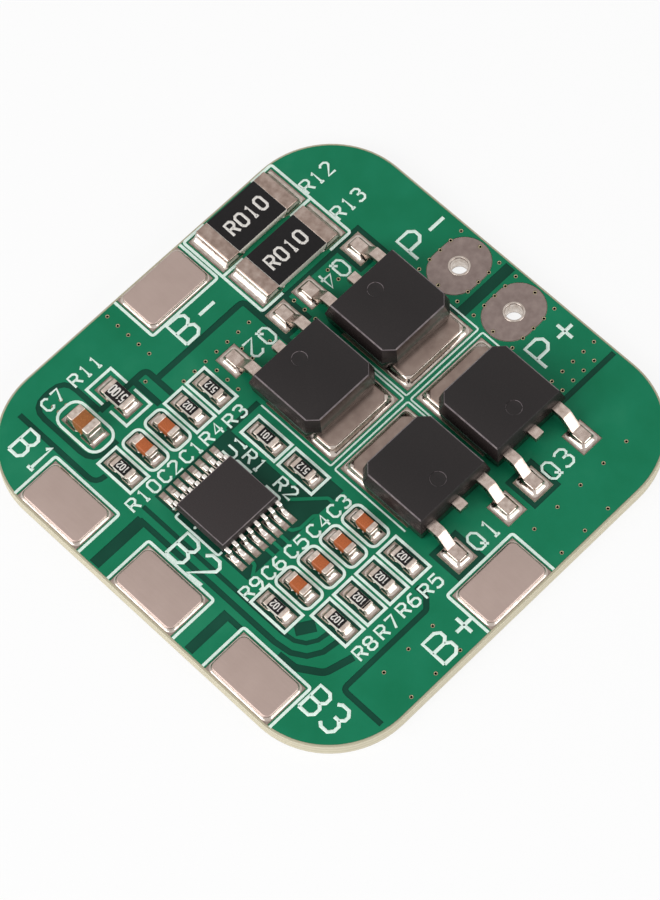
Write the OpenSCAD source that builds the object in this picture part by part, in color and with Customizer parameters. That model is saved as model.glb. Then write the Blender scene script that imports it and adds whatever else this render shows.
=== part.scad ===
// Protection board for a four-cell lithium battery pack, with its parts on one face.
// Millimetres, +Z up out of the component face. The origin is the centre of the underside.

/* [Board] */
// Side of the square board
board_side = 34.5; // [34.3:0.1:36]
// Radius of the board's four corners
corner_r = 6.4; // [4:0.1:6.8]
// Thickness of the glass-epoxy laminate
laminate_t = 1.1; // [0.7:0.1:1.5]
// Thickness of the upper copper with the solder mask over it
mask_t = 0.06; // [0.05:0.01:0.1]
// Thickness of the solder mask on the underside
bottom_mask_t = 0.03; // [0.02:0.01:0.06]
// How deep the mask dips where there is no copper under it
mask_dip = 0.035; // [0.02:0.005:0.04]
// How far the mask stays back from the board's edge
mask_margin = 0.15; // [0.12:0.01:0.18]
// Gap between the mask and each land in it
mask_clearance = 0.05; // [0.03:0.01:0.08]
// Usual width of the bare strips between copper areas
strip_w = 0.4; // [0.3:0.05:0.45]

/* [Weld plates] */
// Length of each weld plate along the board's edge
plate_l = 5.2; // [4.8:0.1:5.4]
// Width of each weld plate, in from the edge
plate_w = 3.1; // [2.8:0.1:3.3]
// Thickness of each weld plate
plate_t = 0.3; // [0.15:0.05:0.5]
// Radius of the plate's corners
plate_r = 0.45; // [0.3:0.05:0.6]
// Bevel round the plate's upper edge
plate_bevel = 0.08; // [0.04:0.01:0.12]
// Gap between the board's edge and the plate
plate_inset = 0.3; // [0.26:0.02:0.34]
// Spacing of the three plates along the left edge
plate_pitch = 8.7; // [8.5:0.1:8.9]

/* [Wire holes] */
// Inside diameter of the plated wire holes
wire_bore_d = 1.2; // [1:0.05:1.5]
// Thickness of the plating in the holes
barrel_t = 0.05; // [0.04:0.01:0.1]
// Length of the oval land at each wire hole
wire_land_l = 4.6; // [4.2:0.05:5]
// Width of the oval land at each wire hole
wire_land_w = 3.6; // [3.2:0.1:3.8]
// Spacing of the two wire holes
wire_pitch = 5; // [4.8:0.1:5.2]
// Distance from the board's right edge to the lands of the wire holes
wire_inset = 0.3; // [0.25:0.05:0.4]

/* [Vias] */
// Drilled diameter of the small vias
via_d = 0.3; // [0.2:0.05:0.35]
// Thickness of the copper in the vias
via_wall = 0.04; // [0.03:0.01:0.06]
// Spacing of the vias in their rows
via_pitch = 1; // [0.95:0.05:1.05]

/* [Chip parts] */
// Length of an 0603 part
chip_l = 1.6; // [1.5:0.05:1.7]
// Width of an 0603 part
chip_w = 0.85; // [0.75:0.05:0.9]
// Height of an 0603 resistor
resistor_h = 0.45; // [0.4:0.05:0.55]
// Height of an 0603 capacitor
capacitor_h = 0.8; // [0.7:0.05:0.9]
// Length of each end cap on an 0603 part
chip_cap_l = 0.3; // [0.2:0.05:0.4]
// Length of an 0805 part
big_chip_l = 2; // [1.9:0.05:2.1]
// Width of an 0805 part
big_chip_w = 1.25; // [1.15:0.05:1.3]
// Height of the 0805 resistor
big_resistor_h = 0.5; // [0.45:0.05:0.6]
// Height of the 0805 capacitor
big_capacitor_h = 1.2; // [0.9:0.05:1.3]
// Length of each end cap on an 0805 part
big_chip_cap_l = 0.4; // [0.3:0.05:0.5]
// Thickness of the metal in every end cap
end_cap_t = 0.03; // [0.02:0.01:0.05]
// Thickness of the coat on a resistor
coat_t = 0.04; // [0.04:0.01:0.06]

/* [Shunt resistors] */
// Length of a 2512 shunt resistor
shunt_l = 6.4; // [6.2:0.1:6.6]
// Width of a 2512 shunt resistor
shunt_w = 3.2; // [3:0.1:3.3]
// Height of a shunt resistor
shunt_h = 0.65; // [0.5:0.05:0.8]
// Length of each end cap on a shunt resistor
shunt_cap_l = 1; // [0.8:0.05:1.2]
// Spacing of the two shunt resistors
shunt_pitch = 3.75; // [3.65:0.05:3.8]

/* [Power transistors] */
// Width of a transistor's body
body_w = 6.4; // [6.3:0.1:6.6]
// Length of a transistor's body
body_l = 6; // [5.9:0.05:6.1]
// Height of a transistor over its seat
body_h = 2.3; // [2.1:0.1:2.5]
// Chamfer of the body's two corners beside the heat tab
body_chamfer = 0.75; // [0.5:0.05:1]
// How far the body's walls lean in from the parting line to the top
body_draft = 0.3; // [0.2:0.05:0.4]
// Width of the heat tab
tab_w = 5.3; // [5:0.1:5.5]
// Thickness of the heat tab
tab_t = 0.5; // [0.4:0.05:0.6]
// How far the heat tab stands out of the body
tab_reach = 1.1; // [1:0.05:1.2]
// Spacing of the two outer legs
leg_pitch = 4.57; // [4.5:0.01:4.65]
// Width of a leg
leg_w = 0.76; // [0.65:0.01:0.85]
// Thickness of a leg
leg_t = 0.5; // [0.4:0.05:0.6]
// How far the legs reach out of the body
leg_reach = 2.75; // [2.6:0.05:2.8]
// How far the cut middle leg stands out of the body
stub_reach = 0.7; // [0.5:0.05:0.9]
// Height of the legs' middle where they leave the body
leg_exit_h = 1.2; // [1.1:0.05:1.3]
// Spacing of the two columns of transistors
transistor_pitch = 7; // [6.95:0.05:7.1]
// Gap between the heat tabs of two facing transistors
tab_gap = 1.5; // [1.4:0.05:1.6]

/* [Protection chip] */
// Length of the protection chip's body
ic_l = 5; // [4.9:0.05:5.1]
// Width of the protection chip's body
ic_w = 4.4; // [4.3:0.05:4.5]
// Height of the protection chip over its seat
ic_h = 1.15; // [1:0.05:1.3]
// Gap under the protection chip's body
ic_standoff = 0.1; // [0.05:0.05:0.15]
// Width of the chip over the tips of its legs
ic_span = 6.4; // [6.3:0.05:6.5]
// Spacing of the chip's legs
ic_pitch = 0.65; // [0.63:0.01:0.66]
// Width of a leg of the chip
ic_leg_w = 0.24; // [0.2:0.01:0.28]
// Thickness of a leg of the chip
ic_leg_t = 0.15; // [0.12:0.01:0.18]

/* [Layout] */
// Place of the first column of chip parts, left of the board's centre
first_column = -11.1; // [-11.2:0.05:-11]
// Spacing of the columns of chip parts
column_pitch = 2; // [1.95:0.01:2.02]
// Place of the row of chip parts above the protection chip
upper_row = 7.8; // [7.7:0.05:8]
// Place of the row of chip parts below the protection chip
middle_row = -6.3; // [-6.4:0.05:-6.2]
// Spacing of the lowest row of chip parts from the one above it
row_pitch = 3.45; // [3.4:0.05:3.5]
// Spacing of the two resistors between the chip and the transistors
side_pair_pitch = 3.4; // [3.35:0.05:3.5]

/* [Screen print] */
// Width of the printed lines
line_w = 0.2; // [0.12:0.02:0.22]
// Thickness of the print
print_t = 0.02; // [0.01:0.01:0.03]
// Width of the printed box round an 0603 part
frame_w = 1.65; // [1.6:0.05:1.7]
// Length of the printed box round an 0603 part
frame_l = 3.05; // [3:0.05:3.1]

/* [Hidden] */
$fn = 48;

// Distance that a cut runs past a face
past = 0.1;
// Thickness of the thin slabs that a moulded body is drawn between
slab_t = 0.01;
// Height of the laminate's two faces, and of the face that the parts stand on
laminate_z = bottom_mask_t;
copper_z = laminate_z + laminate_t;
seat_z = copper_z + mask_t;
half_side = board_side / 2;

// Places of the chip parts
side_pair_y = 1;
function column(i) = first_column + i * column_pitch;
lower_row = middle_row - row_pitch;
r1_at = [column(4), side_pair_y + side_pair_pitch / 2];
r2_at = [column(4), side_pair_y - side_pair_pitch / 2];
r3_at = [column(4), upper_row];
r4_at = [column(3), upper_row];
r5_at = [column(4), lower_row];
r6_at = [column(3), lower_row];
r7_at = [column(2), lower_row];
r8_at = [column(1), lower_row];
r9_at = [column(0), middle_row];
r10_at = [column(0), upper_row];
c1_at = [column(2), upper_row];
c2_at = [column(1), upper_row];
c3_at = [column(4), middle_row];
c4_at = [column(3), middle_row];
c5_at = [column(2), middle_row];
c6_at = [column(1), middle_row];
c7_at = [first_column + 0.45, 11.85];
r11_at = [first_column + 3.45, 11.85];
small_resistors = [r1_at, r2_at, r3_at, r4_at, r5_at, r6_at, r7_at, r8_at, r9_at, r10_at];
small_capacitors = [c1_at, c2_at, c3_at, c4_at, c5_at, c6_at];
small_chips = concat(small_resistors, small_capacitors);
ic_at = [-8.3, 1];
ic_legs = [-3.5:1:3.5];
shunt_x = 7.4;
r12_at = [shunt_x, half_side - 2.1];
r13_at = [shunt_x, half_side - 2.1 - shunt_pitch];
chip_resistor = [chip_w, chip_l, resistor_h];
chip_capacitor = [chip_w, chip_l, capacitor_h];
big_resistor = [big_chip_w, big_chip_l, big_resistor_h];
big_capacitor = [big_chip_w, big_chip_l, big_capacitor_h];
shunt = [shunt_w, shunt_l, shunt_h];

// Each transistor's column and the way it faces, on the line that the pairs mirror about
pair_y = -1.88;
left_column = 1.75;
right_column = left_column + transistor_pitch;
q1_at = [left_column, pair_y, 0];
q2_at = [left_column, pair_y, 180];
q3_at = [right_column, pair_y, 0];
q4_at = [right_column, pair_y, 180];
transistors = [q1_at, q2_at, q3_at, q4_at];

// Cut at the two outer corners of a transistor's tab
tab_chamfer = 0.45;

// Along a transistor, counted from the line that its pair mirrors about
tab_end = -tab_gap / 2;
body_top_end = tab_end - tab_reach;
body_leg_end = body_top_end - body_l;
leg_tip = body_leg_end - leg_reach;

// Solder lands: the size of each, and how far it leads out past its part
chip_land = [0.95, 0.85];
big_chip_land = [1.4, 1.15];
chip_land_lead = 0.5;
shunt_land = [3.3, 1.8];
shunt_land_lead = 0.65;
ic_land = [0.36, 1.5];
ic_land_lead = 0.6;
leg_land = [1.65, 1.9];
leg_land_back = 0.5;
tab_land = [6.1, 6];
tab_land_lead = 0.35;
plate_land_margin = 0.15;

// Sides of a plated barrel's outside, which grips the laminate on flats; only its bore is round
barrel_sides = 12;

// Weld plates: how far the middle of each lies from the board's middle
plate_mid = half_side - plate_inset - plate_w / 2;
plate_gap = 0.4;
plates = [
    [-plate_mid, plate_pitch, 0],
    [-plate_mid, 0, 0],
    [-plate_mid, -plate_pitch, 0],
    [0, plate_mid, -90],
    [0, -plate_mid, 90]
];

// Wire holes
wire_x = half_side - wire_inset - wire_land_l / 2;
p_minus_at = [wire_x, wire_pitch / 2];
p_plus_at = [wire_x, -wire_pitch / 2];
wire_places = [p_minus_at, p_plus_at];

// Vias: each row gives its first via, the direction to the next one and how many there are
lower_gap_y = -9.3;
lower_rows = [lower_gap_y + 1.5, lower_gap_y + 0.55];
via_side_x = wire_land_l / 2 - 0.3;
via_side_y = wire_land_w / 2 - 0.05;
via_rows = concat(
    [for (p = wire_places, s = [-1, 1]) [p + [-2 * via_pitch, s * via_side_y], [1, 0], 5]],
    [for (p = wire_places, s = [-1, 1]) [p + [s * via_side_x, 0], [1, 0], 1]],
    [
        [[wire_x - 2 * via_pitch, lower_rows[0]], [1, 0], 5],
        [[wire_x - 2 * via_pitch, lower_rows[1]], [1, 0], 4],
        [[-4.05, half_side - 0.55], [0, -1], 5],
        [[-3.9, 9.6], [1, 0], 7],
        [[-1.85, 8.6], [0, -1], 3],
        [[0.4, 8.55], [0, -1], 2],
        [[2.05, 8.6], [0, -1], 2],
        [[5.3, 8.6], [0, -1], 3],
        [[8.45, 8.6], [0, -1], 2],
        [[-5.65, 11.4], [1, 0], 1],
        [[-11.1, 14.45], [0.7, 0], 2],
        [[-11.1, 13.9], [0.7, 0], 2],
        [[-9.5, 3 - half_side], [2.2, 0], 3],
        [[4.2, 3 - half_side], [2.15, 0], 5],
        [[-9.5, 0.6 - half_side], [2.2, 0], 3],
        [[4.2, 0.6 - half_side], [2.15, 0], 3]
    ]
);
vias_at = [for (row = via_rows, i = [0:row[2] - 1]) row[0] + i * via_pitch * row[1]];

// ---- Curves ----

function unit(v) = v / norm(v);

// Points of a path whose inner corners are rounded to the radius r
function bend(a, b, c, r, steps) =
    let (u = unit(a - b), v = unit(c - b), half = acos(u * v) / 2, d = r / tan(half))
    let (p = b + d * u, q = b + d * v)
    [for (i = [0:steps]) let (t = i / steps) p * (1 - t) * (1 - t) + 2 * b * t * (1 - t) + q * t * t];

function smooth(path, r, steps = 4) = concat(
    [path[0]],
    [for (i = [1:1:len(path) - 2], p = bend(path[i - 1], path[i], path[i + 1], r, steps)) p],
    [path[len(path) - 1]]
);

function beside(path, off) = [
    for (i = [0:len(path) - 1])
        let (d = unit(path[min(i + 1, len(path) - 1)] - path[max(i - 1, 0)]))
        path[i] + off * [-d[1], d[0]]
];

function reversed(list) = [for (i = [len(list) - 1:-1:0]) list[i]];

// A band of width w along a path with corners rounded to r
module ribbon(path, w, r) {
    line = r > 0 ? smooth(path, r) : path;
    polygon(concat(beside(line, w / 2), reversed(beside(line, -w / 2))));
}

// Side view of a solder joint: from l out on the land, hollow, to h up the part
function meniscus(l, h) = concat(
    [[0, 0]],
    [for (i = [0:4]) let (t = i / 4, u = 1 - t) [l * u * (u + 0.4 * t), h * t * (t + 0.4 * u)]]
);

function rounded_points(w, l, r, steps = 5) = [
    for (q = [0:3], i = [0:steps])
        let (a = 90 * (q + i / steps), sx = q == 0 || q == 3 ? 1 : -1, sy = q < 2 ? 1 : -1)
        [sx * (w / 2 - r) + r * cos(a), sy * (l / 2 - r) + r * sin(a)]
];

// ---- Shared shapes ----

module rounded_square(side, r) {
    square([side - 2 * r, side], center = true);
    square([side, side - 2 * r], center = true);
    for (x = [-1, 1], y = [-1, 1]) translate([x * (side / 2 - r), y * (side / 2 - r)]) circle(r);
}

module obround(l, w) {
    square([l - w, w], center = true);
    for (s = [-1, 1]) translate([s * (l - w) / 2, 0]) circle(w / 2);
}

module board_outline(margin) rounded_square(board_side - 2 * margin, corner_r - margin);

module on_seat(p, turn = 0) translate([p[0], p[1], seat_z]) rotate(turn) children();

module in_plan(p, turn = 0) translate([p[0], p[1]]) rotate(turn) children();

// ---- Bare board ----

module land(size, grow) square(size + [2 * grow, 2 * grow], center = true);

// A land under each end of a part that stands along Y
module land_pair(size, part_l, lead, grow) {
    for (s = [-1, 1]) translate([0, s * ((part_l - size[1]) / 2 + lead)]) land(size, grow);
}

// Every land, each grown by the same amount on all sides
module lands(grow = 0) {
    for (p = small_chips) in_plan(p) land_pair(chip_land, chip_l, chip_land_lead, grow);
    for (p = [c7_at, r11_at]) in_plan(p) land_pair(big_chip_land, big_chip_l, chip_land_lead, grow);
    for (p = [r12_at, r13_at]) in_plan(p, 90) land_pair(shunt_land, shunt_l, shunt_land_lead, grow);
    for (i = ic_legs) in_plan(ic_at)
        translate([i * ic_pitch, 0]) land_pair(ic_land, ic_span, ic_land_lead, grow);
    for (q = transistors) in_plan(q, q[2]) {
        for (s = [-1, 1]) translate([s * leg_pitch / 2, leg_tip + leg_land_back]) land(leg_land, grow);
        translate([0, tab_end + tab_land_lead - tab_land[1] / 2]) land(tab_land, grow);
    }
    for (p = plates) in_plan(p, p[2]) land([plate_w, plate_l], grow + plate_land_margin);
}

// The oval lands round the wire holes, grown in the same way
module wire_lands(grow) {
    for (p = wire_places) in_plan(p) obround(wire_land_l + 2 * grow, wire_land_w + 2 * grow);
}

// Strips of bare board between the copper areas: path, width and corner radius
strips = [
    [[[-5.05, 11], [2.92, 11], [2.92, 5]], strip_w + 0.05, 0.4],
    [[[2.9, 9.25], [12.05, 9.25], [12.05, 0]], strip_w, 0.4],
    [[[12, 0], [half_side - 0.3, 0]], 2 * strip_w, 0],
    [[[11.9, lower_gap_y], [half_side - 0.3, lower_gap_y]], strip_w, 0],
    [[[-12.1, -16.6], [-12.1, -13.2], [-4.6, -13.2], [-3.9, -12.5], [-3.9, -11.6]], strip_w, 0.4],
    [[[-17, -4.3], [-13.45, -4.3]], 1.8 * strip_w, 0],
    [[[-13.65, -4.5], [-13.65, -5.7]], strip_w, 0],
    [[[-17, 4.35], [-12.7, 4.35]], 2.1 * strip_w, 0],
    [[[-12.8, 4.5], [-12.8, -10.7], [-9.85, -10.7]], strip_w, 2.9],
    [[[-12, 5], [-12, -9.85], [-9.85, -9.85]], 0.8 * strip_w, 2.1],
    [[[-13.25, -8.6], [-13.15, -10], [-12.1, -11.6], [-10.1, -12.15]], 1.3 * strip_w, 0.9],
    [[[-11.35, -8.15], [-10.2, -8.9]], 2.2 * strip_w, 0],
    [[[-13.03, 15.6], [-13.03, 8.35], [-12.15, 8.35]], strip_w, 0.8],
    [[[-9.9, 9.6], [-12.1, 9.6], [-12.1, 15.4], [-9.2, 15.4], [-9.2, 12]], strip_w, 1.2],
    [[[-9.2, 12], [-5.05, 12], [-5.05, 9.5]], strip_w + 0.05, 0.4],
    [[[-6.15, 11.9], [-6.15, 9.5]], strip_w + 0.05, 0],
    [[[-4.4, 4.95], [-1.6, 4.95]], strip_w, 0]
];

// Thin tracks that leave the protection chip, on the bare patch round it
tracks = [
    [[-9.9, -2.6], [-9.9, -3.1], [-10.6, -3.6]],
    [[-8.63, -2.6], [-8.63, -3.7]],
    [[-7.98, -2.6], [-7.98, -3.7]],
    [[-7.33, -2.6], [-7.33, -3.7]],
    [[-6.7, -2.6], [-6.6, -3.1], [-6.1, -3.4], [-4.9, -3.4], [-4.6, -3.7]],
    [[-5.3, -1.3], [-3.35, -3.2], [-3.35, -3.7]]
];
bare_patch = [[-11, 5], [-4.3, 5], [-4.3, -1], [-2.3, -1.6], [-2.3, -3.55], [-11, -3.55]];

// Where the mask dips to the bare board
module dips() {
    for (s = strips) ribbon(s[0], s[1], s[2]);
    for (p = small_chips) in_plan(p) land([frame_w, frame_l], -0.45 * line_w);
    for (q = transistors) in_plan(q, q[2])
        translate([-leg_pitch / 2, leg_tip + leg_land_back]) land(leg_land, strip_w);
    difference() {
        polygon(bare_patch);
        for (t = tracks) ribbon(t, 0.6 * strip_w, 0.25);
    }
}

module frame(w, l, r) difference() {
    if (r > 0) polygon(rounded_points(w + line_w, l + line_w, r));
    else square([w + line_w, l + line_w], center = true);
    if (r > 0) polygon(rounded_points(w - line_w, l - line_w, r - line_w));
    else square([w - line_w, l - line_w], center = true);
}

// A hole of radius r through a layer of thickness t
module drill(p, r, t) translate([p[0], p[1], -past]) cylinder(r = r, h = t + 2 * past);

module circuit_board() color("#c5bda6") translate([0, 0, laminate_z]) difference() {
    linear_extrude(laminate_t) board_outline(0);
    for (p = wire_places) drill(p, wire_bore_d / 2 + barrel_t, laminate_t, $fn = barrel_sides);
    for (p = vias_at) drill(p, via_d / 2 + via_wall, laminate_t);
}

module top_mask() color("#217c59") translate([0, 0, copper_z]) difference() {
    linear_extrude(mask_t) board_outline(mask_margin);
    translate([0, 0, -past]) linear_extrude(mask_t + 2 * past) {
        lands(mask_clearance);
        wire_lands(mask_clearance);
    }
    translate([0, 0, mask_t - mask_dip]) linear_extrude(mask_dip + past) dips();
    for (p = vias_at) drill(p, via_d / 2, mask_t, $fn = 16);
}

module bottom_mask() color("#217c59") linear_extrude(bottom_mask_t) difference() {
    board_outline(mask_margin);
    wire_lands(mask_clearance);
}

module solder_pads() color("#a89c94") translate([0, 0, copper_z]) linear_extrude(mask_t) lands();

module vias() color("#9a7f58") translate([0, 0, laminate_z]) for (p = vias_at) difference() {
    in_plan(p) cylinder(r = via_d / 2 + via_wall, h = laminate_t);
    drill(p, via_d / 2, laminate_t);
}

// A plated wire hole: a barrel with an oval land on each face of the laminate
module wire_terminal(p) color("#877873") difference() {
    in_plan(p) union() {
        linear_extrude(bottom_mask_t) obround(wire_land_l, wire_land_w);
        translate([0, 0, bottom_mask_t / 2]) cylinder(
            r = wire_bore_d / 2 + barrel_t, h = seat_z - (bottom_mask_t + mask_t) / 2, $fn = barrel_sides
        );
        translate([0, 0, copper_z]) linear_extrude(mask_t) obround(wire_land_l, wire_land_w);
    }
    drill(p, wire_bore_d / 2, seat_z);
    for (v = vias_at) if (norm(v - p) < wire_land_l / 2 + via_d)
        translate([v[0], v[1], copper_z - past / 10]) cylinder(r = via_d / 2, h = mask_t + past);
}

module terminal_p_minus() wire_terminal(p_minus_at);

module terminal_p_plus() wire_terminal(p_plus_at);

// ---- Screen print ----

// Box round a weld plate, open at the board's edge, where the mask ends
module plate_frame() {
    mask_end = plate_mid - half_side + mask_margin;
    reach = plate_w / 2 + plate_gap;
    side = plate_l / 2 + plate_gap;
    ribbon([[mask_end, side], [reach, side], [reach, -side], [mask_end, -side]], line_w, 0.2);
}

module ic_brackets() {
    x = 2.8;
    y = 1.98;
    foot = 0.35;
    ribbon([[-x + foot, -y], [-x, -y], [-x, y], [-x + foot, y]], 0.8 * line_w, 0.15);
    for (s = [-1, 1]) ribbon([[x - foot, s * y], [x, s * y], [x, s * 0.65]], 0.8 * line_w, 0.15);
    for (p = [[-2.45, 2.45], [-2.45, 0.5]]) translate(p) circle(line_w / 2);
}

// One bracket at each side of the two shunt resistors, with an arm between them
module shunt_brackets() {
    arm = 1.9;
    x = shunt_l / 2 + 0.92;
    y = shunt_pitch;
    for (s = [-1, 1]) {
        ribbon([[s * (x - arm), y], [s * x, y], [s * x, -y], [s * (x - arm), -y]], line_w, 0.2);
        translate([s * (x - arm / 2), 0]) square([arm, line_w], center = true);
    }
}

// Three-sided box round a transistor, open towards its legs
module transistor_frame() {
    x = transistor_pitch / 2 - 0.12;
    near = -0.18;
    ribbon([[-x, body_leg_end + 1.3], [-x, near], [x, near], [x, body_leg_end + 1.3]], 0.6 * line_w, 0.15);
}

module screen_print() color("#d7f0e1") translate([0, 0, seat_z]) linear_extrude(print_t) {
    for (p = small_resistors) in_plan(p) frame(frame_w, frame_l, 0);
    for (p = small_capacitors) in_plan(p) frame(frame_w, frame_l, 0.55);
    in_plan(c7_at) frame(frame_w + 0.5, frame_l + 0.95, 0.9);
    in_plan(r11_at) difference() {
        frame(frame_w + 0.55, frame_l + 0.75, 0);
        square([3, 0.7], center = true);
    }
    for (p = plates) in_plan(p, p[2]) plate_frame();
    in_plan((r12_at + r13_at) / 2) shunt_brackets();
    in_plan(ic_at) ic_brackets();
    for (q = transistors) in_plan(q, q[2]) transistor_frame();
}

// ---- Weld plates ----

module weld_plate(i) color("#b5a59c") on_seat(plates[i], plates[i][2]) hull() {
    b = plate_bevel;
    linear_extrude(plate_t - b) polygon(rounded_points(plate_w, plate_l, plate_r));
    linear_extrude(plate_t) polygon(rounded_points(plate_w - 2 * b, plate_l - 2 * b, plate_r - b));
}

module weld_plate_b1() weld_plate(0);

module weld_plate_b2() weld_plate(1);

module weld_plate_b3() weld_plate(2);

module weld_plate_b_minus() weld_plate(3);

module weld_plate_b_plus() weld_plate(4);

// ---- Power transistors ----

module body_slab(z, inset) {
    x = body_w / 2 - inset;
    c = body_chamfer;
    translate([0, 0, z]) linear_extrude(slab_t) polygon([
        [-x, body_leg_end + inset], [x, body_leg_end + inset],
        [x, body_top_end - c], [x - c, body_top_end - inset],
        [c - x, body_top_end - inset], [-x, body_top_end - c]
    ]);
}

module tab() linear_extrude(tab_t) {
    x = tab_w / 2;
    c = tab_chamfer;
    inner = body_top_end - body_l + 1;
    polygon([
        [-x, inner], [x, inner],
        [x, tab_end - c], [x - c, tab_end],
        [c - x, tab_end], [-x, tab_end - c]
    ]);
}

module legs() {
    sunk = 0.8;
    knee = 0.75;
    foot = 1.1;
    low = leg_t / 2;
    side_view = [
        [body_leg_end + sunk, leg_exit_h], [body_leg_end - knee, leg_exit_h],
        [leg_tip + foot, low], [leg_tip, low]
    ];
    for (s = [-1, 1]) translate([s * leg_pitch / 2, 0, 0]) rotate([90, 0, 90])
        linear_extrude(leg_w, center = true) ribbon(side_view, leg_t, 0.45);
    translate([-leg_w / 2, body_leg_end - stub_reach, leg_exit_h - leg_t / 2])
        cube([leg_w, stub_reach + sunk, leg_t]);
}

module transistor_body(q) color("#2b2728") on_seat(q, q[2]) difference() {
    under = 0.04;
    mark_depth = 0.06;
    union() {
        hull() {
            body_slab(under, body_draft / 2);
            body_slab(leg_exit_h, 0);
        }
        hull() {
            body_slab(leg_exit_h, 0);
            body_slab(body_h - slab_t, body_draft);
        }
    }
    tab();
    legs();
    translate([0, body_leg_end + 1.6, body_h - mark_depth]) cylinder(d = 1.1, h = mark_depth + past);
}

module transistor_tab(q) color("#9a8f88") on_seat(q, q[2]) tab();

module transistor_legs(q) color("#b9ada4") on_seat(q, q[2]) legs();

module q1_body() transistor_body(q1_at);

module q1_tab() transistor_tab(q1_at);

module q1_legs() transistor_legs(q1_at);

module q2_body() transistor_body(q2_at);

module q2_tab() transistor_tab(q2_at);

module q2_legs() transistor_legs(q2_at);

module q3_body() transistor_body(q3_at);

module q3_tab() transistor_tab(q3_at);

module q3_legs() transistor_legs(q3_at);

module q4_body() transistor_body(q4_at);

module q4_tab() transistor_tab(q4_at);

module q4_legs() transistor_legs(q4_at);

// ---- Protection chip ----

ic_exit_h = ic_standoff + (ic_h - ic_standoff) / 2;
ic_sunk = 0.3;

ic_draft = 0.1;

module ic_slab(z, inset) translate([0, 0, z]) linear_extrude(slab_t)
    square([ic_l - 2 * inset, ic_w - 2 * inset], center = true);

module u1_legs() color("#c4b8ae") on_seat(ic_at) {
    knee = 0.33;
    foot = 0.48;
    side_view = [
        [-ic_w / 2 + ic_sunk, ic_exit_h], [-ic_w / 2 - knee, ic_exit_h],
        [-ic_span / 2 + foot, ic_leg_t / 2], [-ic_span / 2, ic_leg_t / 2]
    ];
    for (turn = [0, 180], i = ic_legs) rotate(turn) translate([i * ic_pitch, 0, 0]) rotate([90, 0, 90])
        linear_extrude(ic_leg_w, center = true) ribbon(side_view, ic_leg_t, 0.12);
}

module u1_body() color("#383233") on_seat(ic_at) difference() {
    union() {
        hull() {
            ic_slab(ic_standoff, ic_draft);
            ic_slab(ic_exit_h, 0);
        }
        hull() {
            ic_slab(ic_exit_h, 0);
            ic_slab(ic_h - slab_t, ic_draft);
        }
    }
    for (s = [-1, 1], i = ic_legs)
        translate([i * ic_pitch, s * (ic_w / 2 - ic_sunk / 2 + past / 2), ic_exit_h])
            cube([ic_leg_w, ic_sunk + past, ic_leg_t], center = true);
}

// ---- Chip parts ----

// The middle of a chip part, inside its end caps
module chip_core(size, width) translate([0, 0, size[2] / 2])
    cube([width, size[1] - 2 * end_cap_t, size[2] - 2 * end_cap_t], center = true);

// Metal caps folded round both ends of a chip part
module end_caps(size, cap_l, width) difference() {
    for (s = [-1, 1]) translate([0, s * (size[1] - cap_l) / 2, size[2] / 2])
        cube([size[0], cap_l, size[2]], center = true);
    chip_core(size, width);
}

module coat(size, cap_l) translate([0, 0, size[2] - end_cap_t + coat_t / 2])
    cube([size[0], size[1] - 2 * cap_l, coat_t], center = true);

module resistor_core(p) color("#e6e0d6") on_seat(p) chip_core(chip_resistor, chip_w);

module capacitor_block(p) color("#be5f2d") on_seat(p) chip_core(chip_capacitor, chip_w - 2 * end_cap_t);

module shunt_core(p) color("#e6e0d6") on_seat(p, 90) chip_core(shunt, shunt_w);

module r1_core() resistor_core(r1_at);

module r2_core() resistor_core(r2_at);

module r3_core() resistor_core(r3_at);

module r4_core() resistor_core(r4_at);

module r5_core() resistor_core(r5_at);

module r6_core() resistor_core(r6_at);

module r7_core() resistor_core(r7_at);

module r8_core() resistor_core(r8_at);

module r9_core() resistor_core(r9_at);

module r10_core() resistor_core(r10_at);

module r11_core() color("#e6e0d6") on_seat(r11_at) chip_core(big_resistor, big_chip_w);

module r12_core() shunt_core(r12_at);

module r13_core() shunt_core(r13_at);

module resistor_coats() color("#242021") {
    for (p = small_resistors) on_seat(p) coat(chip_resistor, chip_cap_l);
    on_seat(r11_at) coat(big_resistor, big_chip_cap_l);
}

module resistor_end_caps() color("#c0b4aa") {
    for (p = small_resistors) on_seat(p) end_caps(chip_resistor, chip_cap_l, chip_w + past);
    on_seat(r11_at) end_caps(big_resistor, big_chip_cap_l, big_chip_w + past);
}

module shunt_coats() color("#211e1f") for (p = [r12_at, r13_at]) on_seat(p, 90) coat(shunt, shunt_cap_l);

module shunt_end_caps() color("#b4a89f") for (p = [r12_at, r13_at])
    on_seat(p, 90) end_caps(shunt, shunt_cap_l, shunt_w + past);

module c1_block() capacitor_block(c1_at);

module c2_block() capacitor_block(c2_at);

module c3_block() capacitor_block(c3_at);

module c4_block() capacitor_block(c4_at);

module c5_block() capacitor_block(c5_at);

module c6_block() capacitor_block(c6_at);

module c7_block() color("#96561f") on_seat(c7_at) chip_core(big_capacitor, big_chip_w - 2 * end_cap_t);

module capacitor_end_caps() color("#c8bcb2") {
    for (p = small_capacitors) on_seat(p) end_caps(chip_capacitor, chip_cap_l, chip_w - 2 * end_cap_t);
    on_seat(c7_at) end_caps(big_capacitor, big_chip_cap_l, big_chip_w - 2 * end_cap_t);
}

// ---- Solder ----

// How far a joint reaches out from a chip part's end, and from a leg or a tab
end_joint_l = 0.38;
leg_joint_l = 0.3;
toe_joint_l = 0.4;
// Share of a part's end that the solder climbs
resistor_climb = 0.8;
capacitor_climb = 0.55;
leg_climb = 0.75;
// Length of a transistor leg's foot that stands in solder, and how much wider than a leg its toe's solder is
wetted_foot = 0.9;
toe_spread = 1.3;

// A straight solder joint, w wide, l out along -y and h up the wall at y = 0
module joint(w, l, h) rotate([90, 0, -90]) linear_extrude(w, center = true) polygon(meniscus(l, h));

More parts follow.
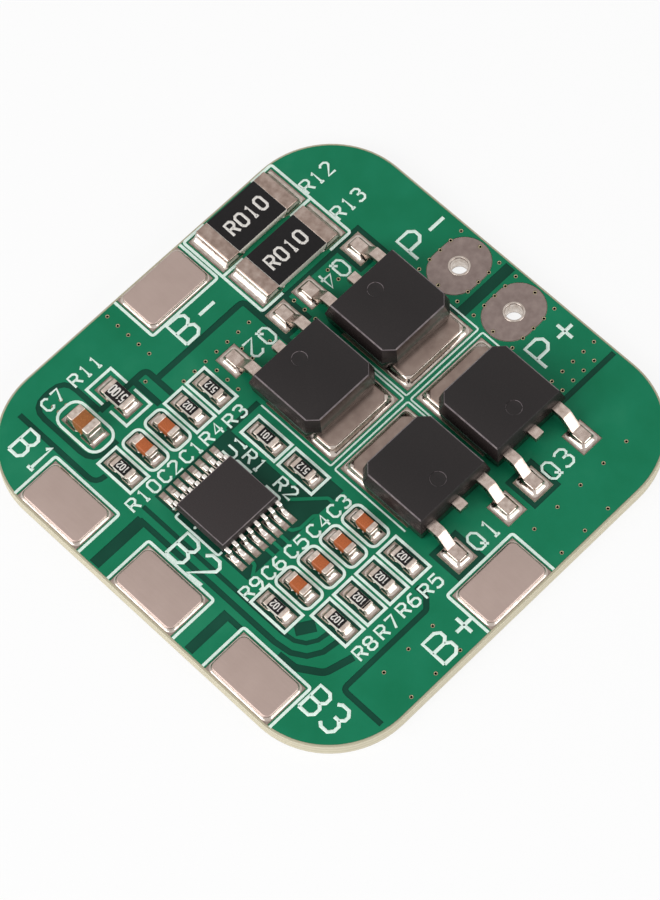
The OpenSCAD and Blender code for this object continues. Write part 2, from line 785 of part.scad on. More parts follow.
module end_joints(size, climb) for (turn = [0, 180]) rotate(turn)
    translate([0, -size[1] / 2, 0]) joint(0.94 * size[0], end_joint_l, climb * size[2]);

// Solder along the four sides of a weld plate, between its rounded corners
module plate_joints() {
    h = leg_climb * (plate_t - plate_bevel);
    for (turn = [0, 180]) rotate(turn) {
        translate([0, -plate_l / 2, 0]) joint(plate_w - 2 * plate_r, plate_land_margin, h);
        translate([-plate_w / 2, 0, 0]) rotate(-90) joint(plate_l - 2 * plate_r, plate_land_margin, h);
    }
}

module leg_joints() for (s = [-1, 1]) translate([s * leg_pitch / 2, leg_tip, 0]) {
    joint(toe_spread * leg_w, toe_joint_l, leg_climb * leg_t);
    for (side = [-1, 1]) translate([side * leg_w / 2, wetted_foot / 2, 0]) rotate(side * 90)
        joint(wetted_foot, leg_joint_l, leg_climb * leg_t);
}

module solder_joints() color("#d9d2cb") {
    for (p = small_resistors) on_seat(p) end_joints(chip_resistor, resistor_climb);
    for (p = small_capacitors) on_seat(p) end_joints(chip_capacitor, capacitor_climb);
    on_seat(r11_at) end_joints(big_resistor, resistor_climb);
    on_seat(c7_at) end_joints(big_capacitor, capacitor_climb);
    for (p = [r12_at, r13_at]) on_seat(p, 90) end_joints(shunt, resistor_climb);
    for (p = plates) on_seat(p, p[2]) plate_joints();
    for (q = transistors) on_seat(q, q[2]) {
        leg_joints();
        translate([0, tab_end, 0]) rotate(180) joint(tab_w - 2 * tab_chamfer, leg_joint_l, leg_climb * tab_t);
    }
    for (turn = [0, 180], i = ic_legs) on_seat(ic_at) rotate(turn)
        translate([i * ic_pitch, -ic_span / 2, 0])
            joint(toe_spread * ic_leg_w, leg_joint_l, leg_climb * ic_leg_t);
}

circuit_board();
top_mask();
bottom_mask();
solder_pads();
vias();
screen_print();
terminal_p_minus();
terminal_p_plus();
weld_plate_b1();
weld_plate_b2();
weld_plate_b3();
weld_plate_b_minus();
weld_plate_b_plus();
q1_body();
q1_tab();
q1_legs();
q2_body();
q2_tab();
q2_legs();
q3_body();
q3_tab();
q3_legs();
q4_body();
q4_tab();
q4_legs();
u1_body();
u1_legs();
r12_core();
r13_core();
shunt_coats();
shunt_end_caps();
r1_core();
r2_core();
r3_core();
r4_core();
r5_core();
r6_core();
r7_core();
r8_core();
r9_core();
r10_core();
r11_core();
resistor_coats();
resistor_end_caps();
c1_block();
c2_block();
c3_block();
c4_block();
c5_block();
c6_block();
c7_block();
capacitor_end_caps();
solder_joints();
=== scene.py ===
# %% [markdown]
# # A battery protection board, finished in Blender
# The solid model of the board is loaded as a fixed frame, in metres. Its flat layers keep their
# meshes and get real finishes. What a maker would see as rounded, bent or molten is modelled again
# here: weld plates, moulded transistors, legs, chip parts, solder and the printed letters.

# %% Load the frame
import math

import bmesh
import bpy
from mathutils import Matrix, Vector


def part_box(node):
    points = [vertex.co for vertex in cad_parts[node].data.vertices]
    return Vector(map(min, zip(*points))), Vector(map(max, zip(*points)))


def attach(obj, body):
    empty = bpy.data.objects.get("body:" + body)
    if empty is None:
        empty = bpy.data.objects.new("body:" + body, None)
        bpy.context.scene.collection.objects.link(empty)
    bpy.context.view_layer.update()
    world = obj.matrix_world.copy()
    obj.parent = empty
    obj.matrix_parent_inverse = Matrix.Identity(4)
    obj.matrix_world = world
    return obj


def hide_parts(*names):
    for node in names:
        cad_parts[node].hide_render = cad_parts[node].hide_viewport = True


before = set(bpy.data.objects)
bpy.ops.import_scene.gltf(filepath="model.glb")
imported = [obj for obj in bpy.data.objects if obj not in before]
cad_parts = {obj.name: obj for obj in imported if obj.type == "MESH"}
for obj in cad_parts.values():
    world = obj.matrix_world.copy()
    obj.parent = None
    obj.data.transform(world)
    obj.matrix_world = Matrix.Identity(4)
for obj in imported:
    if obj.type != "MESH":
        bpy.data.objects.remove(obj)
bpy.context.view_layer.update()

MM = 0.001
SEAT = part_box("weld_plate_b1")[0][2] / MM
print("the parts stand at", round(SEAT, 3), "mm")

# %% [markdown]
# ## Tools for shaping
# Every new piece starts as a primitive at its size and place and is shaped in edit mode. A list of
# points would give the same mesh, but it doesn't show how the shape comes about. Lengths are in
# millimetres, and each helper turns them into metres.

# %% Select one piece, add a block
def deselect():
    if bpy.context.object and bpy.context.object.mode != "OBJECT":
        bpy.ops.object.mode_set(mode="OBJECT")
    bpy.ops.object.select_all(action="DESELECT")


def take(piece):
    """Make one piece the active and only selected one."""
    deselect()
    piece.select_set(True)
    bpy.context.view_layer.objects.active = piece
    return piece


def settle():
    """Puts the active piece's place, turn and size into its mesh, and gives the piece."""
    bpy.ops.object.transform_apply(location=True, rotation=True, scale=True)
    return bpy.context.object


def block(name, low, high):
    """A box between two corners in mm."""
    deselect()
    low, high = Vector(low) * MM, Vector(high) * MM
    bpy.ops.mesh.primitive_cube_add(size=1, location=(low + high) / 2, scale=high - low)
    piece = settle()
    piece.name = name
    return piece


# %% Open a piece with some of it selected
def choose(piece, kind, wanted):
    """Edit mode, with what the test wants selected. It gets the middle in mm and the direction."""
    take(piece)
    bpy.ops.object.mode_set(mode="EDIT")
    bpy.ops.mesh.select_mode(type=kind)
    bpy.ops.mesh.select_all(action="DESELECT")
    bm = bmesh.from_edit_mesh(piece.data)
    bm.normal_update()
    for part in {"VERT": bm.verts, "EDGE": bm.edges, "FACE": bm.faces}[kind]:
        if kind == "VERT":
            middle, way = part.co, part.normal
        elif kind == "EDGE":
            a, b = (v.co for v in part.verts)
            middle, way = (a + b) / 2, (b - a).normalized()
        else:
            middle, way = part.calc_center_median(), part.normal
        if wanted(middle / MM, way):
            part.select_set(True)
    bm.select_flush_mode()
    bmesh.update_edit_mesh(piece.data)


def leave():
    bpy.ops.object.mode_set(mode="OBJECT")


def everything(middle, way):
    return True


def upright(middle, way):
    return abs(way.z) > 0.9


def faces_up(middle, way):
    return way.z > 0.9


def cut_edges(piece, wanted, width, segments=1):
    """Bevels only the edges that the test wants."""
    choose(piece, "EDGE", wanted)
    bpy.ops.mesh.bevel(offset=width * MM, segments=segments)
    leave()


def extrude_up(height):
    """Extrudes the selected faces along Z, by a height in mm."""
    bpy.ops.mesh.extrude_region_move(TRANSFORM_OT_translate={"value": (0, 0, height * MM)})


# %% Apply a modifier, smooth, copy, join
def modify(piece, kind, **settings):
    take(piece)
    made = piece.modifiers.new(kind.title(), kind)
    for key, value in settings.items():
        setattr(made, key, value)
    bpy.ops.object.modifier_apply(modifier=made.name)
    return piece


def rounded(piece, width, segments=2, angle=30):
    """Round every edge sharper than an angle."""
    return modify(piece, "BEVEL", width=width * MM, segments=segments, limit_method="ANGLE",
                  angle_limit=math.radians(angle))


def smooth(piece, angle=35):
    take(piece)
    bpy.ops.object.shade_smooth_by_angle(angle=math.radians(angle))
    return piece


def copied(piece, name, place=(0, 0, 0), turn=0):
    """A copy with its own mesh, turned in degrees about Z and then moved in mm."""
    new = piece.copy()
    new.data = piece.data.copy()
    new.name = name
    bpy.context.scene.collection.objects.link(new)
    turned = Matrix.Rotation(math.radians(turn), 4, "Z")
    new.data.transform(Matrix.Translation(Vector(place) * MM) @ turned)
    return new


def joined(name, pieces):
    deselect()
    for piece in pieces:
        piece.select_set(True)
    bpy.context.view_layer.objects.active = pieces[0]
    if len(pieces) > 1:
        bpy.ops.object.join()
    pieces[0].name = name
    return pieces[0]


def remove(*pieces):
    for piece in pieces:
        bpy.data.objects.remove(piece, do_unlink=True)


# %% Tie a piece to the board, and read places and sizes from it
def belongs(piece, slot, made, *nodes):
    """Gives a piece its body and its finish in a material slot, and hides the nodes it stands for. The
    slot argument is not used.
    """
    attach(piece, "root")
    if nodes:
        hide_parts(*nodes)
    piece.data.materials.append(made)
    return piece


def middle_of(node):
    low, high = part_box(node)
    return [(low[i] + high[i]) / 2 / MM for i in range(3)]


def seat_of(node):
    """The place on the lands under the middle of a node."""
    return (*middle_of(node)[:2], SEAT)


def size_of(node):
    low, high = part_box(node)
    return [(high[i] - low[i]) / MM for i in range(3)]


# %% [markdown]
# ## Tools for finishes
# A finish is one Principled shader. Colours are written as sRGB hex values and turned to linear by
# one function. Patterns are set by their real size: a noise whose spots are 0.2 mm across needs a
# scale of one over 0.2 mm, because Object coordinates are in metres. Images would need unwrapping,
# and would show a seam at every edge.

# %% Colours and nodes
def linear(code):
    """An sRGB hex colour as linear RGBA."""
    values = [int(code[i:i + 2], 16) / 255 for i in (1, 3, 5)]
    return [v / 12.92 if v <= 0.04045 else ((v + 0.055) / 1.055) ** 2.4 for v in values] + [1]


def finish(name, colour, roughness, metallic=0.0, **sockets):
    """A material named for the real finish. Extra words set sockets, with _ for a space."""
    made = bpy.data.materials.new(name)
    made.use_nodes = True
    shader = made.node_tree.nodes["Principled BSDF"]
    shader.inputs["Base Color"].default_value = linear(colour)
    shader.inputs["Roughness"].default_value = roughness
    shader.inputs["Metallic"].default_value = metallic
    for key, value in sockets.items():
        shader.inputs[key.replace("_", " ")].default_value = value
    return made


def add(made, kind, links, out=0, stops=(), **settings):
    """Adds a node and gives one output. Links maps an input to a value or to another's output."""
    new = made.node_tree.nodes.new(kind)
    for key, value in settings.items():
        setattr(new, key, value)
    for key, value in links.items():
        if isinstance(value, bpy.types.NodeSocket):
            made.node_tree.links.new(value, new.inputs[key])
        else:
            new.inputs[key].default_value = value
    if stops:
        while len(new.color_ramp.elements) < len(stops):
            new.color_ramp.elements.new(0.5)
        for element, (position, code) in zip(new.color_ramp.elements, stops):
            element.position = position
            element.color = linear(code)
    return new.outputs[out] if new.outputs else new


def feed(made, socket, output):
    made.node_tree.links.new(output, made.node_tree.nodes["Principled BSDF"].inputs[socket])


print("white in linear:", linear("#FFFFFF"))

# %% Patterns of a real size
# A noise stays near 0.5, so three colours share it evenly with these stops.
THIRDS = (0.3, 0.52, 0.74)


def spots(made, across, detail=3, stretch=(1, 1, 1)):
    """A cloudy pattern whose spots are so many mm across, stretched along an axis if asked."""
    place = add(made, "ShaderNodeTexCoord", {}, out="Object")
    place = add(made, "ShaderNodeMapping", {"Vector": place, "Scale": stretch})
    return add(made, "ShaderNodeTexNoise", {
        "Vector": place, "Scale": 1 / (across * MM), "Detail": detail})


def worked(made, shine, low, high, relief, depth):
    """Roughness from low to high over one pattern, and relief so many mm deep from another."""
    feed(made, "Roughness", add(made, "ShaderNodeMapRange", {
        "Value": shine, "To Min": low, "To Max": high}))
    feed(made, "Normal", add(made, "ShaderNodeBump", {"Height": relief, "Distance": depth * MM}))


def speckled(name, colours, roughness, across, depth, metallic=0.0, grain=0.05, **sockets):
    """A finish that wanders between three colours in spots so many mm across, with their relief."""
    made = finish(name, colours[1], roughness, metallic, **sockets)
    pattern = spots(made, across)
    feed(made, "Base Color", add(
        made, "ShaderNodeValToRGB", {"Fac": pattern}, stops=list(zip(THIRDS, colours))))
    worked(made, spots(made, grain), roughness - 0.08, roughness + 0.1, pattern, depth)
    return made


def two_toned(made, share, low, high):
    """Mixes two colour ramps by a share. Each ramp is given as a pattern and its stops."""
    ramps = [add(made, "ShaderNodeValToRGB", {"Fac": pattern}, stops=stops)
             for pattern, *stops in (low, high)]
    feed(made, "Base Color", add(
        made, "ShaderNodeMix", {0: share, 6: ramps[0], 7: ramps[1]}, out=2, data_type="RGBA"))


print("stops of a speckled finish:", THIRDS)

# %% [markdown]
# ## Bare board
# The laminate is glass cloth in epoxy, covered by a green ink that is open over the lands. The flat
# layers are true in the solid model, so each only gets a finish. The copper under the mask could be
# a layer of its own, but only a step and a lighter green are seen of it. So one ink switches between
# two greens by its height.

# %% Laminate
# Glass cloth in epoxy, cut by a router: a matt straw-coloured edge with faint layers. The cloth's
# layers are 0.19 mm thick, and are drawn twice as coarse, and its threads of 0.01 mm as spots of
# 0.12 mm, or neither would show.
WAVE_PERIOD = 2 * math.pi / 20  # of a wave texture at a scale of 1
LAYER = 0.375
glass_epoxy = finish("glass_epoxy_routed", "#C5BDA6", 0.75)
layer = add(glass_epoxy, "ShaderNodeTexWave", {
    "Vector": add(glass_epoxy, "ShaderNodeTexCoord", {}, out="Object"),
    "Scale": WAVE_PERIOD / (LAYER * MM), "Distortion": 1.5, "Detail": 2.0, "Detail Scale": 0.5,
}, out="Fac", bands_direction="Z")
fibre = spots(glass_epoxy, 0.12)
two_toned(glass_epoxy, fibre, (layer, (0.0, "#B7AF95"), (1.0, "#C8C0A9")),
          (layer, (0.0, "#C4BDA3"), (1.0, "#D2CBB7")))
feed(glass_epoxy, "Normal", add(glass_epoxy, "ShaderNodeBump", {
    "Height": fibre, "Distance": 0.02 * MM}))
print("laminate layers drawn", LAYER, "mm thick")

# %% Solder mask
# Poured and light-cured epoxy ink: a smooth film with a soft shine and a slight waviness. Over
# copper it is light green. Where the copper is etched away the core shows through, darker and more
# blue. Its clouds of 3.5 mm and its ripple of 0.45 mm are those of a poured ink.
STEP_LOW, STEP_HIGH = 1.158, 1.186  # the top mask's step between bare core and copper


def mask_ink(name, low_z, high_z):
    """Green mask ink, light above the height high_z in mm and dark below low_z."""
    made = finish(name, "#187C58", 0.34, Specular_IOR_Level=0.12)
    place = add(made, "ShaderNodeTexCoord", {}, out="Object")
    over_copper = add(made, "ShaderNodeMapRange", {
        "Value": add(made, "ShaderNodeSeparateXYZ", {"Vector": place}, out="Z"),
        "From Min": low_z * MM, "From Max": high_z * MM})
    cloud = spots(made, 3.5, detail=4)
    two_toned(made, over_copper, (cloud, (0.3, "#0B3F2F"), (0.6, "#124938"), (0.8, "#1A5340")),
              (cloud, (0.3, "#127550"), (0.55, "#187C58"), (0.75, "#25835F")))
    worked(made, spots(made, 0.7), 0.26, 0.4, spots(made, 0.45, detail=2), 0.006)
    return made


mask_top = mask_ink("green_solder_mask", STEP_LOW, STEP_HIGH)
mask_under = mask_ink("green_solder_mask_under", -2.0, -1.0)  # light all over
print("mask switches between", STEP_LOW, "and", STEP_HIGH, "mm")

# %% Screen ink
# Screen-printed epoxy ink: chalky and matt, and a little green where it is thin. Its grain is the
# 0.06 mm of the screen's mesh, drawn at 0.25 mm.
screen_ink = speckled("white_screen_ink", ("#D6EFE2", "#E6F8EE", "#F0FCF5"), 0.55, 0.25, 0.004)
print("made", screen_ink.name)

# %% Via copper
# Plated copper, a warm pale ring at the mouth of each via. No light reaches the bore's bottom, so the
# copper deep in the bore is painted dark, as painted shade, by its distance from the faces. The
# plating's grain of a few thousandths of a millimetre is drawn at 0.08 mm.
CORE_Z = (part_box("vias")[0][2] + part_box("vias")[1][2]) / 2 / MM


def from_the_core(made, low, high):
    """A factor that is 0 inside the board and 1 near its faces, from two distances in mm."""
    place = add(made, "ShaderNodeTexCoord", {}, out="Object")
    height = add(made, "ShaderNodeSeparateXYZ", {"Vector": place}, out="Z")
    middle = add(made, "ShaderNodeMath", {0: height, 1: CORE_Z * MM}, operation="SUBTRACT")
    return add(made, "ShaderNodeMapRange", {
        "Value": add(made, "ShaderNodeMath", {0: middle}, operation="ABSOLUTE"),
        "From Min": low * MM, "From Max": high * MM})


via_copper = finish("plated_via_copper", "#A3977C", 0.35, 1.0)
# Painted shade: the copper deep in the bore is dark.
feed(via_copper, "Base Color", add(
    via_copper, "ShaderNodeValToRGB", {"Fac": from_the_core(via_copper, 0.54, 0.59)},
    stops=[(0.0, "#14110D"), (1.0, "#A3977C")]))
feed(via_copper, "Normal", add(via_copper, "ShaderNodeBump", {
    "Height": spots(via_copper, 0.08), "Distance": 0.004 * MM}))
print("middle of the core at", round(CORE_Z, 3), "mm")

# %% Tinned lands
# Lands are dipped in tin and blown level with hot air, which leaves a half-bright, cloudy metal.
# The clouds are the tin's own grains, 0.35 mm across.
tinned_land = speckled(
    "hot_tinned_land", ("#84756F", "#98887F", "#AC9D94"), 0.42, 0.35, 0.012, 1.0)

# The two big wire lands have no solder on them yet, so their tin has dulled to a brownish grey. The
# wall of each hole is painted bright, as painted light from both ends running along it.
wire_land = finish("dull_tinned_wire_land", "#877873", 0.52, 1.0)
dull = spots(wire_land, 0.5)
# Painted light: the hole walls take the bright colours.
two_toned(wire_land, from_the_core(wire_land, 0.5, 0.56),
          (spots(wire_land, 0.3), (0.3, "#C9BDB2"), (0.7, "#EDE6DF")),
          (dull, (0.3, "#7F706B"), (0.5, "#877873"), (0.72, "#90817B")))
feed(wire_land, "Normal", add(wire_land, "ShaderNodeBump", {
    "Height": dull, "Distance": 0.006 * MM}))
print("made", tinned_land.name, "and", wire_land.name)

# %% Dress the flat layers
LAYERS = {
    "circuit_board": glass_epoxy, "top_mask": mask_top, "bottom_mask": mask_under,
    "solder_pads": tinned_land, "vias": via_copper, "screen_print": screen_ink,
    "terminal_p_minus": wire_land, "terminal_p_plus": wire_land,
}
for node, made in LAYERS.items():
    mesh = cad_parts[node].data
    mesh.materials.clear()
    mesh.materials.append(made)
print("flat layers dressed:", len(LAYERS))

# %% [markdown]
# ## Vias
# Each small via is a plated barrel, whose plating ends at the top in a narrow collar round a dark
# bore. Booleans could cut them from the mask, but leave long thin faces at every place. So one
# barrel is shaped with insets and extrusions, and copied. The places come from the solid model: a
# copy of its barrels is merged and split into loose parts, and each part gives one middle.

# %% Where the vias are
barrels = copied(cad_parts["vias"], "barrels")
choose(barrels, "VERT", everything)
bpy.ops.mesh.remove_doubles(threshold=1e-6)
bpy.ops.mesh.select_all(action="SELECT")
bpy.ops.mesh.separate(type="LOOSE")
leave()
barrels = list(bpy.context.selected_objects)
via_places = []
for barrel in barrels:
    corners = [Vector(corner) / MM for corner in barrel.bound_box]
    via_places.append(tuple((corners[0] + corners[6]) / 2)[:2])
remove(*barrels)
print("vias:", len(via_places))

# %% One via, copied to its places
VIA_R = 0.188
COLLAR_INSET, COLLAR_W, COLLAR_RIM = 0.04, 0.062, 0.012
# For the top and the underside: the way out, the collar's height and the bore's depth
VIA_ENDS = ((1, 0.053, 0.5), (-1, 0.025, 0.4))
via_low, via_high = (corner[2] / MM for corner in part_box("vias"))
deselect()
bpy.ops.mesh.primitive_cylinder_add(
    vertices=16, radius=VIA_R * MM, depth=(via_high - via_low) * MM, location=(0, 0, CORE_Z * MM))
via = settle()
for side, collar, bore in VIA_ENDS:
    choose(via, "FACE", lambda middle, way: way.z * side > 0.9)
    bpy.ops.mesh.inset(thickness=COLLAR_INSET * MM)
    extrude_up(side * collar)
    bpy.ops.mesh.inset(thickness=COLLAR_W * MM)
    extrude_up(-side * bore)
    leave()
rounded(via, COLLAR_RIM, 1, 50)
smooth(via, 40)
barrels = [copied(via, "via", (x, y, 0)) for x, y in via_places]
remove(via)
belongs(joined("via_barrels", barrels), "via_copper", via_copper, "vias")

# %% [markdown]
# ## Weld plates
# The plates are stamped nickel, soldered flat so that strips can be spot-welded to them. One bevel
# on every edge would leave corners as sharp as the rims. So the four upright edges are rounded
# widely first, and then the top rim gets the small soft edge that catches the light.

# %% Nickel
# Cold-rolled nickel strip: a warm grey, matt metal with fine streaks along the way it was rolled.
# The streaks are hundredths of a millimetre wide and are drawn at 0.08 mm.
rolled_nickel = finish("rolled_nickel", "#B09D94", 0.46, 1.0)
streak = spots(rolled_nickel, 0.08, detail=2, stretch=(1, 0.06, 1))
cloudy = spots(rolled_nickel, 1.6)
two_toned(rolled_nickel, streak, (cloudy, (0.3, "#A6938B"), (0.7, "#AA978F")),
          (cloudy, (0.3, "#AC9991"), (0.7, "#B09D95")))
worked(rolled_nickel, streak, 0.4, 0.52, streak, 0.002)
print("made", rolled_nickel.name)

# %% Plate
PLATE_CORNER, PLATE_RIM = 0.45, 0.12
PLATES = {"weld_plate_b1": 0, "weld_plate_b2": 0, "weld_plate_b3": 0,
          "weld_plate_b_minus": -90, "weld_plate_b_plus": 90}  # with their turns
plate_w, plate_l, plate_t = size_of("weld_plate_b1")
plate = block("plate", (-plate_w / 2, -plate_l / 2, 0), (plate_w / 2, plate_l / 2, plate_t))
cut_edges(plate, upright, PLATE_CORNER, 8)
cut_edges(plate, lambda middle, way: middle.z > plate_t - 0.01 and abs(way.z) < 0.1, PLATE_RIM, 4)
smooth(plate)
for node, turn in PLATES.items():
    belongs(copied(plate, node + "_nickel", seat_of(node), turn), "nickel", rolled_nickel, node)
remove(plate)
print("weld plates:", len(PLATES))

# %% [markdown]
# ## Power transistors
# A moulded body stands on a heat tab, with two bent legs and a short cut one between them. The
# mould halves meet at the legs, so the walls lean in above and below that line. The body could be
# lofted between three outlines. A block is simpler: its tab end is chamfered, a bisect puts the
# parting line in, and its top and bottom are scaled in for the draft. A boolean presses the shallow
# mark of the ejector pin, because it is the one round thing in a flat face.

# %% Moulding epoxy
# Epoxy filled with quartz sand, pressed into a spark-eroded mould: charcoal and matt on top. The
# leaning walls are smoother from the draft, and the walls facing along X are painted paler, as
# painted light. The 0.02 mm grain of the mould is drawn at 0.06 and 0.09 mm.
moulding_epoxy = finish("moulding_epoxy", "#171111", 0.5, Specular_IOR_Level=0.3)
facing = add(moulding_epoxy, "ShaderNodeTexCoord", {}, out="Normal")
across_x = add(moulding_epoxy, "ShaderNodeSeparateXYZ", {"Vector": facing}, out="X")
painted_wall_light = add(moulding_epoxy, "ShaderNodeMath", {0: across_x}, operation="ABSOLUTE")
upwards = add(moulding_epoxy, "ShaderNodeSeparateXYZ", {"Vector": facing}, out="Z")
grain = spots(moulding_epoxy, 0.09, detail=4)
# Painted light: the walls facing along X take the paler colours.
two_toned(moulding_epoxy, painted_wall_light,
          (grain, (0.3, "#120D0D"), (0.6, "#171111"), (0.85, "#201919")),
          (grain, (0.3, "#262020"), (0.6, "#2D2726"), (0.85, "#352F2E")))
worked(moulding_epoxy, upwards, 0.16, 0.5, spots(moulding_epoxy, 0.06), 0.004)

# The top's rims carry a painted highlight: thin pale lines along the rims.
painted_rim_highlight = speckled("painted_highlight_epoxy_edge", ("#5C5355", "#71676A", "#857A7A"), 0.3, 0.5, 0.001)

# The wall over the tab is glossy, and its brown colour is a painted reflection of the metal below it.
painted_reflection_wall = speckled("painted_reflection_epoxy_wall", ("#453B36", "#4B413C", "#524741"), 0.14, 0.3, 0.003,
                    Specular_IOR_Level=0.9)
print("made", moulding_epoxy.name, painted_rim_highlight.name, painted_reflection_wall.name)

# %% Tinned copper
# Copper strip with a thin coat of tin: warm, bright and softly clouded. The chip's legs are painted
# brighter, as painted light, and the tabs are the darkest and roughest. The tin's own grain is too
# fine to show, so its clouds are drawn at 0.2 to 0.8 mm.
leg_tin = speckled(
    "tinned_copper_leg", ("#A5948A", "#B8A79D", "#C9BAB0"), 0.26, 0.3, 0.004, 1.0)
# Painted light: a brighter copy of the same tin for the chip's legs.
fine_tin_painted_light = speckled(
    "painted_light_tinned_fine_leg", ("#CFC6BE", "#E2DAD3", "#F2ECE7"), 0.25, 0.2, 0.002, 1.0)
tab_tin = speckled(
    "tinned_copper_tab", ("#7F6E66", "#89786F", "#93837A"), 0.36, 0.8, 0.004, 1.0)
print("made", leg_tin.name, fine_tin_painted_light.name, tab_tin.name)

# %% Sizes of a transistor, along its own Y from the line between the pairs
PAIR_Y = (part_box("q1_tab")[1][1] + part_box("q2_tab")[0][1]) / 2 / MM
body_w, body_l, _ = size_of("q1_body")
body_low, body_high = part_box("q1_body")
body_near = body_high[1] / MM - PAIR_Y
body_far = body_low[1] / MM - PAIR_Y
body_top = body_high[2] / MM - SEAT
tab_low, tab_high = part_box("q1_tab")
tab_end = tab_high[1] / MM - PAIR_Y
tab_w, _, tab_t = size_of("q1_tab")
leg_low, leg_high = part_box("q1_legs")
leg_tip = leg_low[1] / MM - PAIR_Y
leg_top = leg_high[2] / MM - SEAT
LEG_W, LEG_T = 0.76, 0.5
leg_x = (leg_high[0] - leg_low[0]) / MM / 2 - LEG_W / 2
parting = leg_top - LEG_T / 2
print("body", round(body_w, 2), round(body_l, 2), round(body_top, 2), "tab end", round(tab_end, 2))


# %% Body
def drafted(piece, line, ends, w, l, centre=(0, 0, 0)):
    """Puts a parting line in a moulding and draws each (height, inset) of its ends in."""
    choose(piece, "FACE", everything)
    bpy.ops.mesh.bisect(plane_co=(0, 0, line * MM), plane_no=(0, 0, 1))
    leave()
    for z, inset in ends:
        choose(piece, "VERT", lambda middle, way: abs(middle.z - z) < 0.01)
        bpy.ops.transform.resize(
            value=(1 - 2 * inset / w, 1 - 2 * inset / l, 1), center_override=centre)
        leave()


BODY_GAP, BODY_CHAMFER, BODY_RIM, DRAFT = 0.04, 0.75, 0.07, 0.3
PIN_R, PIN_RIM, PIN_H, PIN_DEPTH, PIN_FROM_END = 0.55, 0.03, 0.2, 0.05, 1.6
body = block("body", (-body_w / 2, body_far, BODY_GAP), (body_w / 2, body_near, body_top))
cut_edges(body, lambda middle, way: upright(middle, way) and middle.y > body_near - 0.1, BODY_CHAMFER)
drafted(body, parting, ((body_top, DRAFT), (BODY_GAP, DRAFT / 2)), body_w, body_l,
        Vector((0, (body_near + body_far) / 2, 0)) * MM)
rounded(body, BODY_RIM, angle=12)
deselect()
bpy.ops.mesh.primitive_cylinder_add(
    vertices=40, radius=PIN_R * MM, depth=PIN_H * MM,
    location=Vector((0, body_far + PIN_FROM_END, body_top + PIN_H / 2 - PIN_DEPTH)) * MM)
pin = rounded(settle(), PIN_RIM)
modify(body, "BOOLEAN", object=pin, operation="DIFFERENCE", solver="EXACT")
remove(pin)
smooth(body)
print("body faces:", len(body.data.polygons))

# %% Its painted rim highlights and painted wall reflection
PAINTED_RIM_HIGHLIGHT, PAINTED_REFLECTION = 1, 2  # places in the list of a piece's materials
RIM_H = 0.09
# Rims facing the sides and the tab get the painted highlight, the tab-side wall the painted reflection.
for face in body.data.polygons:
    on_rim = face.center.z / MM > body_top - RIM_H and 0.15 < face.normal.z < 0.95
    if on_rim and (abs(face.normal.x) > 0.3 or face.normal.y > 0.3):
        face.material_index = PAINTED_RIM_HIGHLIGHT
    elif face.normal.y > 0.9:
        face.material_index = PAINTED_REFLECTION
print("burnished:", sum(face.material_index == PAINTED_RIM_HIGHLIGHT for face in body.data.polygons))

# %% Heat tab
TAB_CORNER, TAB_RIM = 0.45, 0.14
tab = block("tab", (-tab_w / 2, tab_low[1] / MM - PAIR_Y, 0), (tab_w / 2, tab_end, tab_t))
cut_edges(tab, lambda middle, way: upright(middle, way) and middle.y > tab_end - 0.1, TAB_CORNER)
rounded(tab, TAB_RIM, 4)
smooth(tab)
print("tab faces:", len(tab.data.polygons))

# %% [markdown]
# ## Bent legs
# A leg is a flat strip bent twice. A curve with a flat profile could draw it, but its ends are hard
# to hold to size. Here an edge is extruded step by step along the side view, with more steps at the
# bends. A solidify modifier then gives the strip its thickness, and a bevel softens its edges.

# %% Bent strips
def bent(points, radius, steps=5):
    """Points of a side view with its inner corners rounded."""
    out = [Vector(points[0])]
    for before, at, after in zip(points, points[1:], points[2:]):
        before, at, after = Vector(before), Vector(at), Vector(after)
        u, v = (before - at).normalized(), (after - at).normalized()
        reach = radius / math.tan(math.acos(max(-1, min(1, u.dot(v)))) / 2)
        a, b = at + u * reach, at + v * reach
        for i in range(steps + 1):
            share = i / steps
            out.append(a.lerp(at, share).lerp(at.lerp(b, share), share))
    return out + [Vector(points[-1])]


def strip(name, line, width, thickness, x=0):
    """A strip of metal extruded along a side view of (y, z) points, its middle on the line."""
    deselect()
    bpy.ops.mesh.primitive_plane_add(size=1, location=(x * MM, 0, 0))
    made = bpy.context.object
    made.name = name
    bpy.ops.object.mode_set(mode="EDIT")
    bpy.ops.mesh.delete(type="ONLY_FACE")
    leave()
    take(made)
    settle()
    for vertex in made.data.vertices:
        half = width / 2 if vertex.co.x > x * MM else -width / 2
        vertex.co = Vector((x + half, *line[0])) * MM
    choose(made, "VERT", everything)
    bpy.ops.mesh.remove_doubles(threshold=1e-7)
    bpy.ops.mesh.select_all(action="SELECT")
    for a, b in zip(line, line[1:]):
        bpy.ops.mesh.extrude_edges_move(
            TRANSFORM_OT_translate={"value": (0, (b[0] - a[0]) * MM, (b[1] - a[1]) * MM)})
    leave()
    modify(made, "SOLIDIFY", thickness=thickness * MM, offset=0, use_even_offset=True)
    choose(made, "FACE", everything)
    bpy.ops.mesh.normals_make_consistent(inside=False)
    leave()
    return made


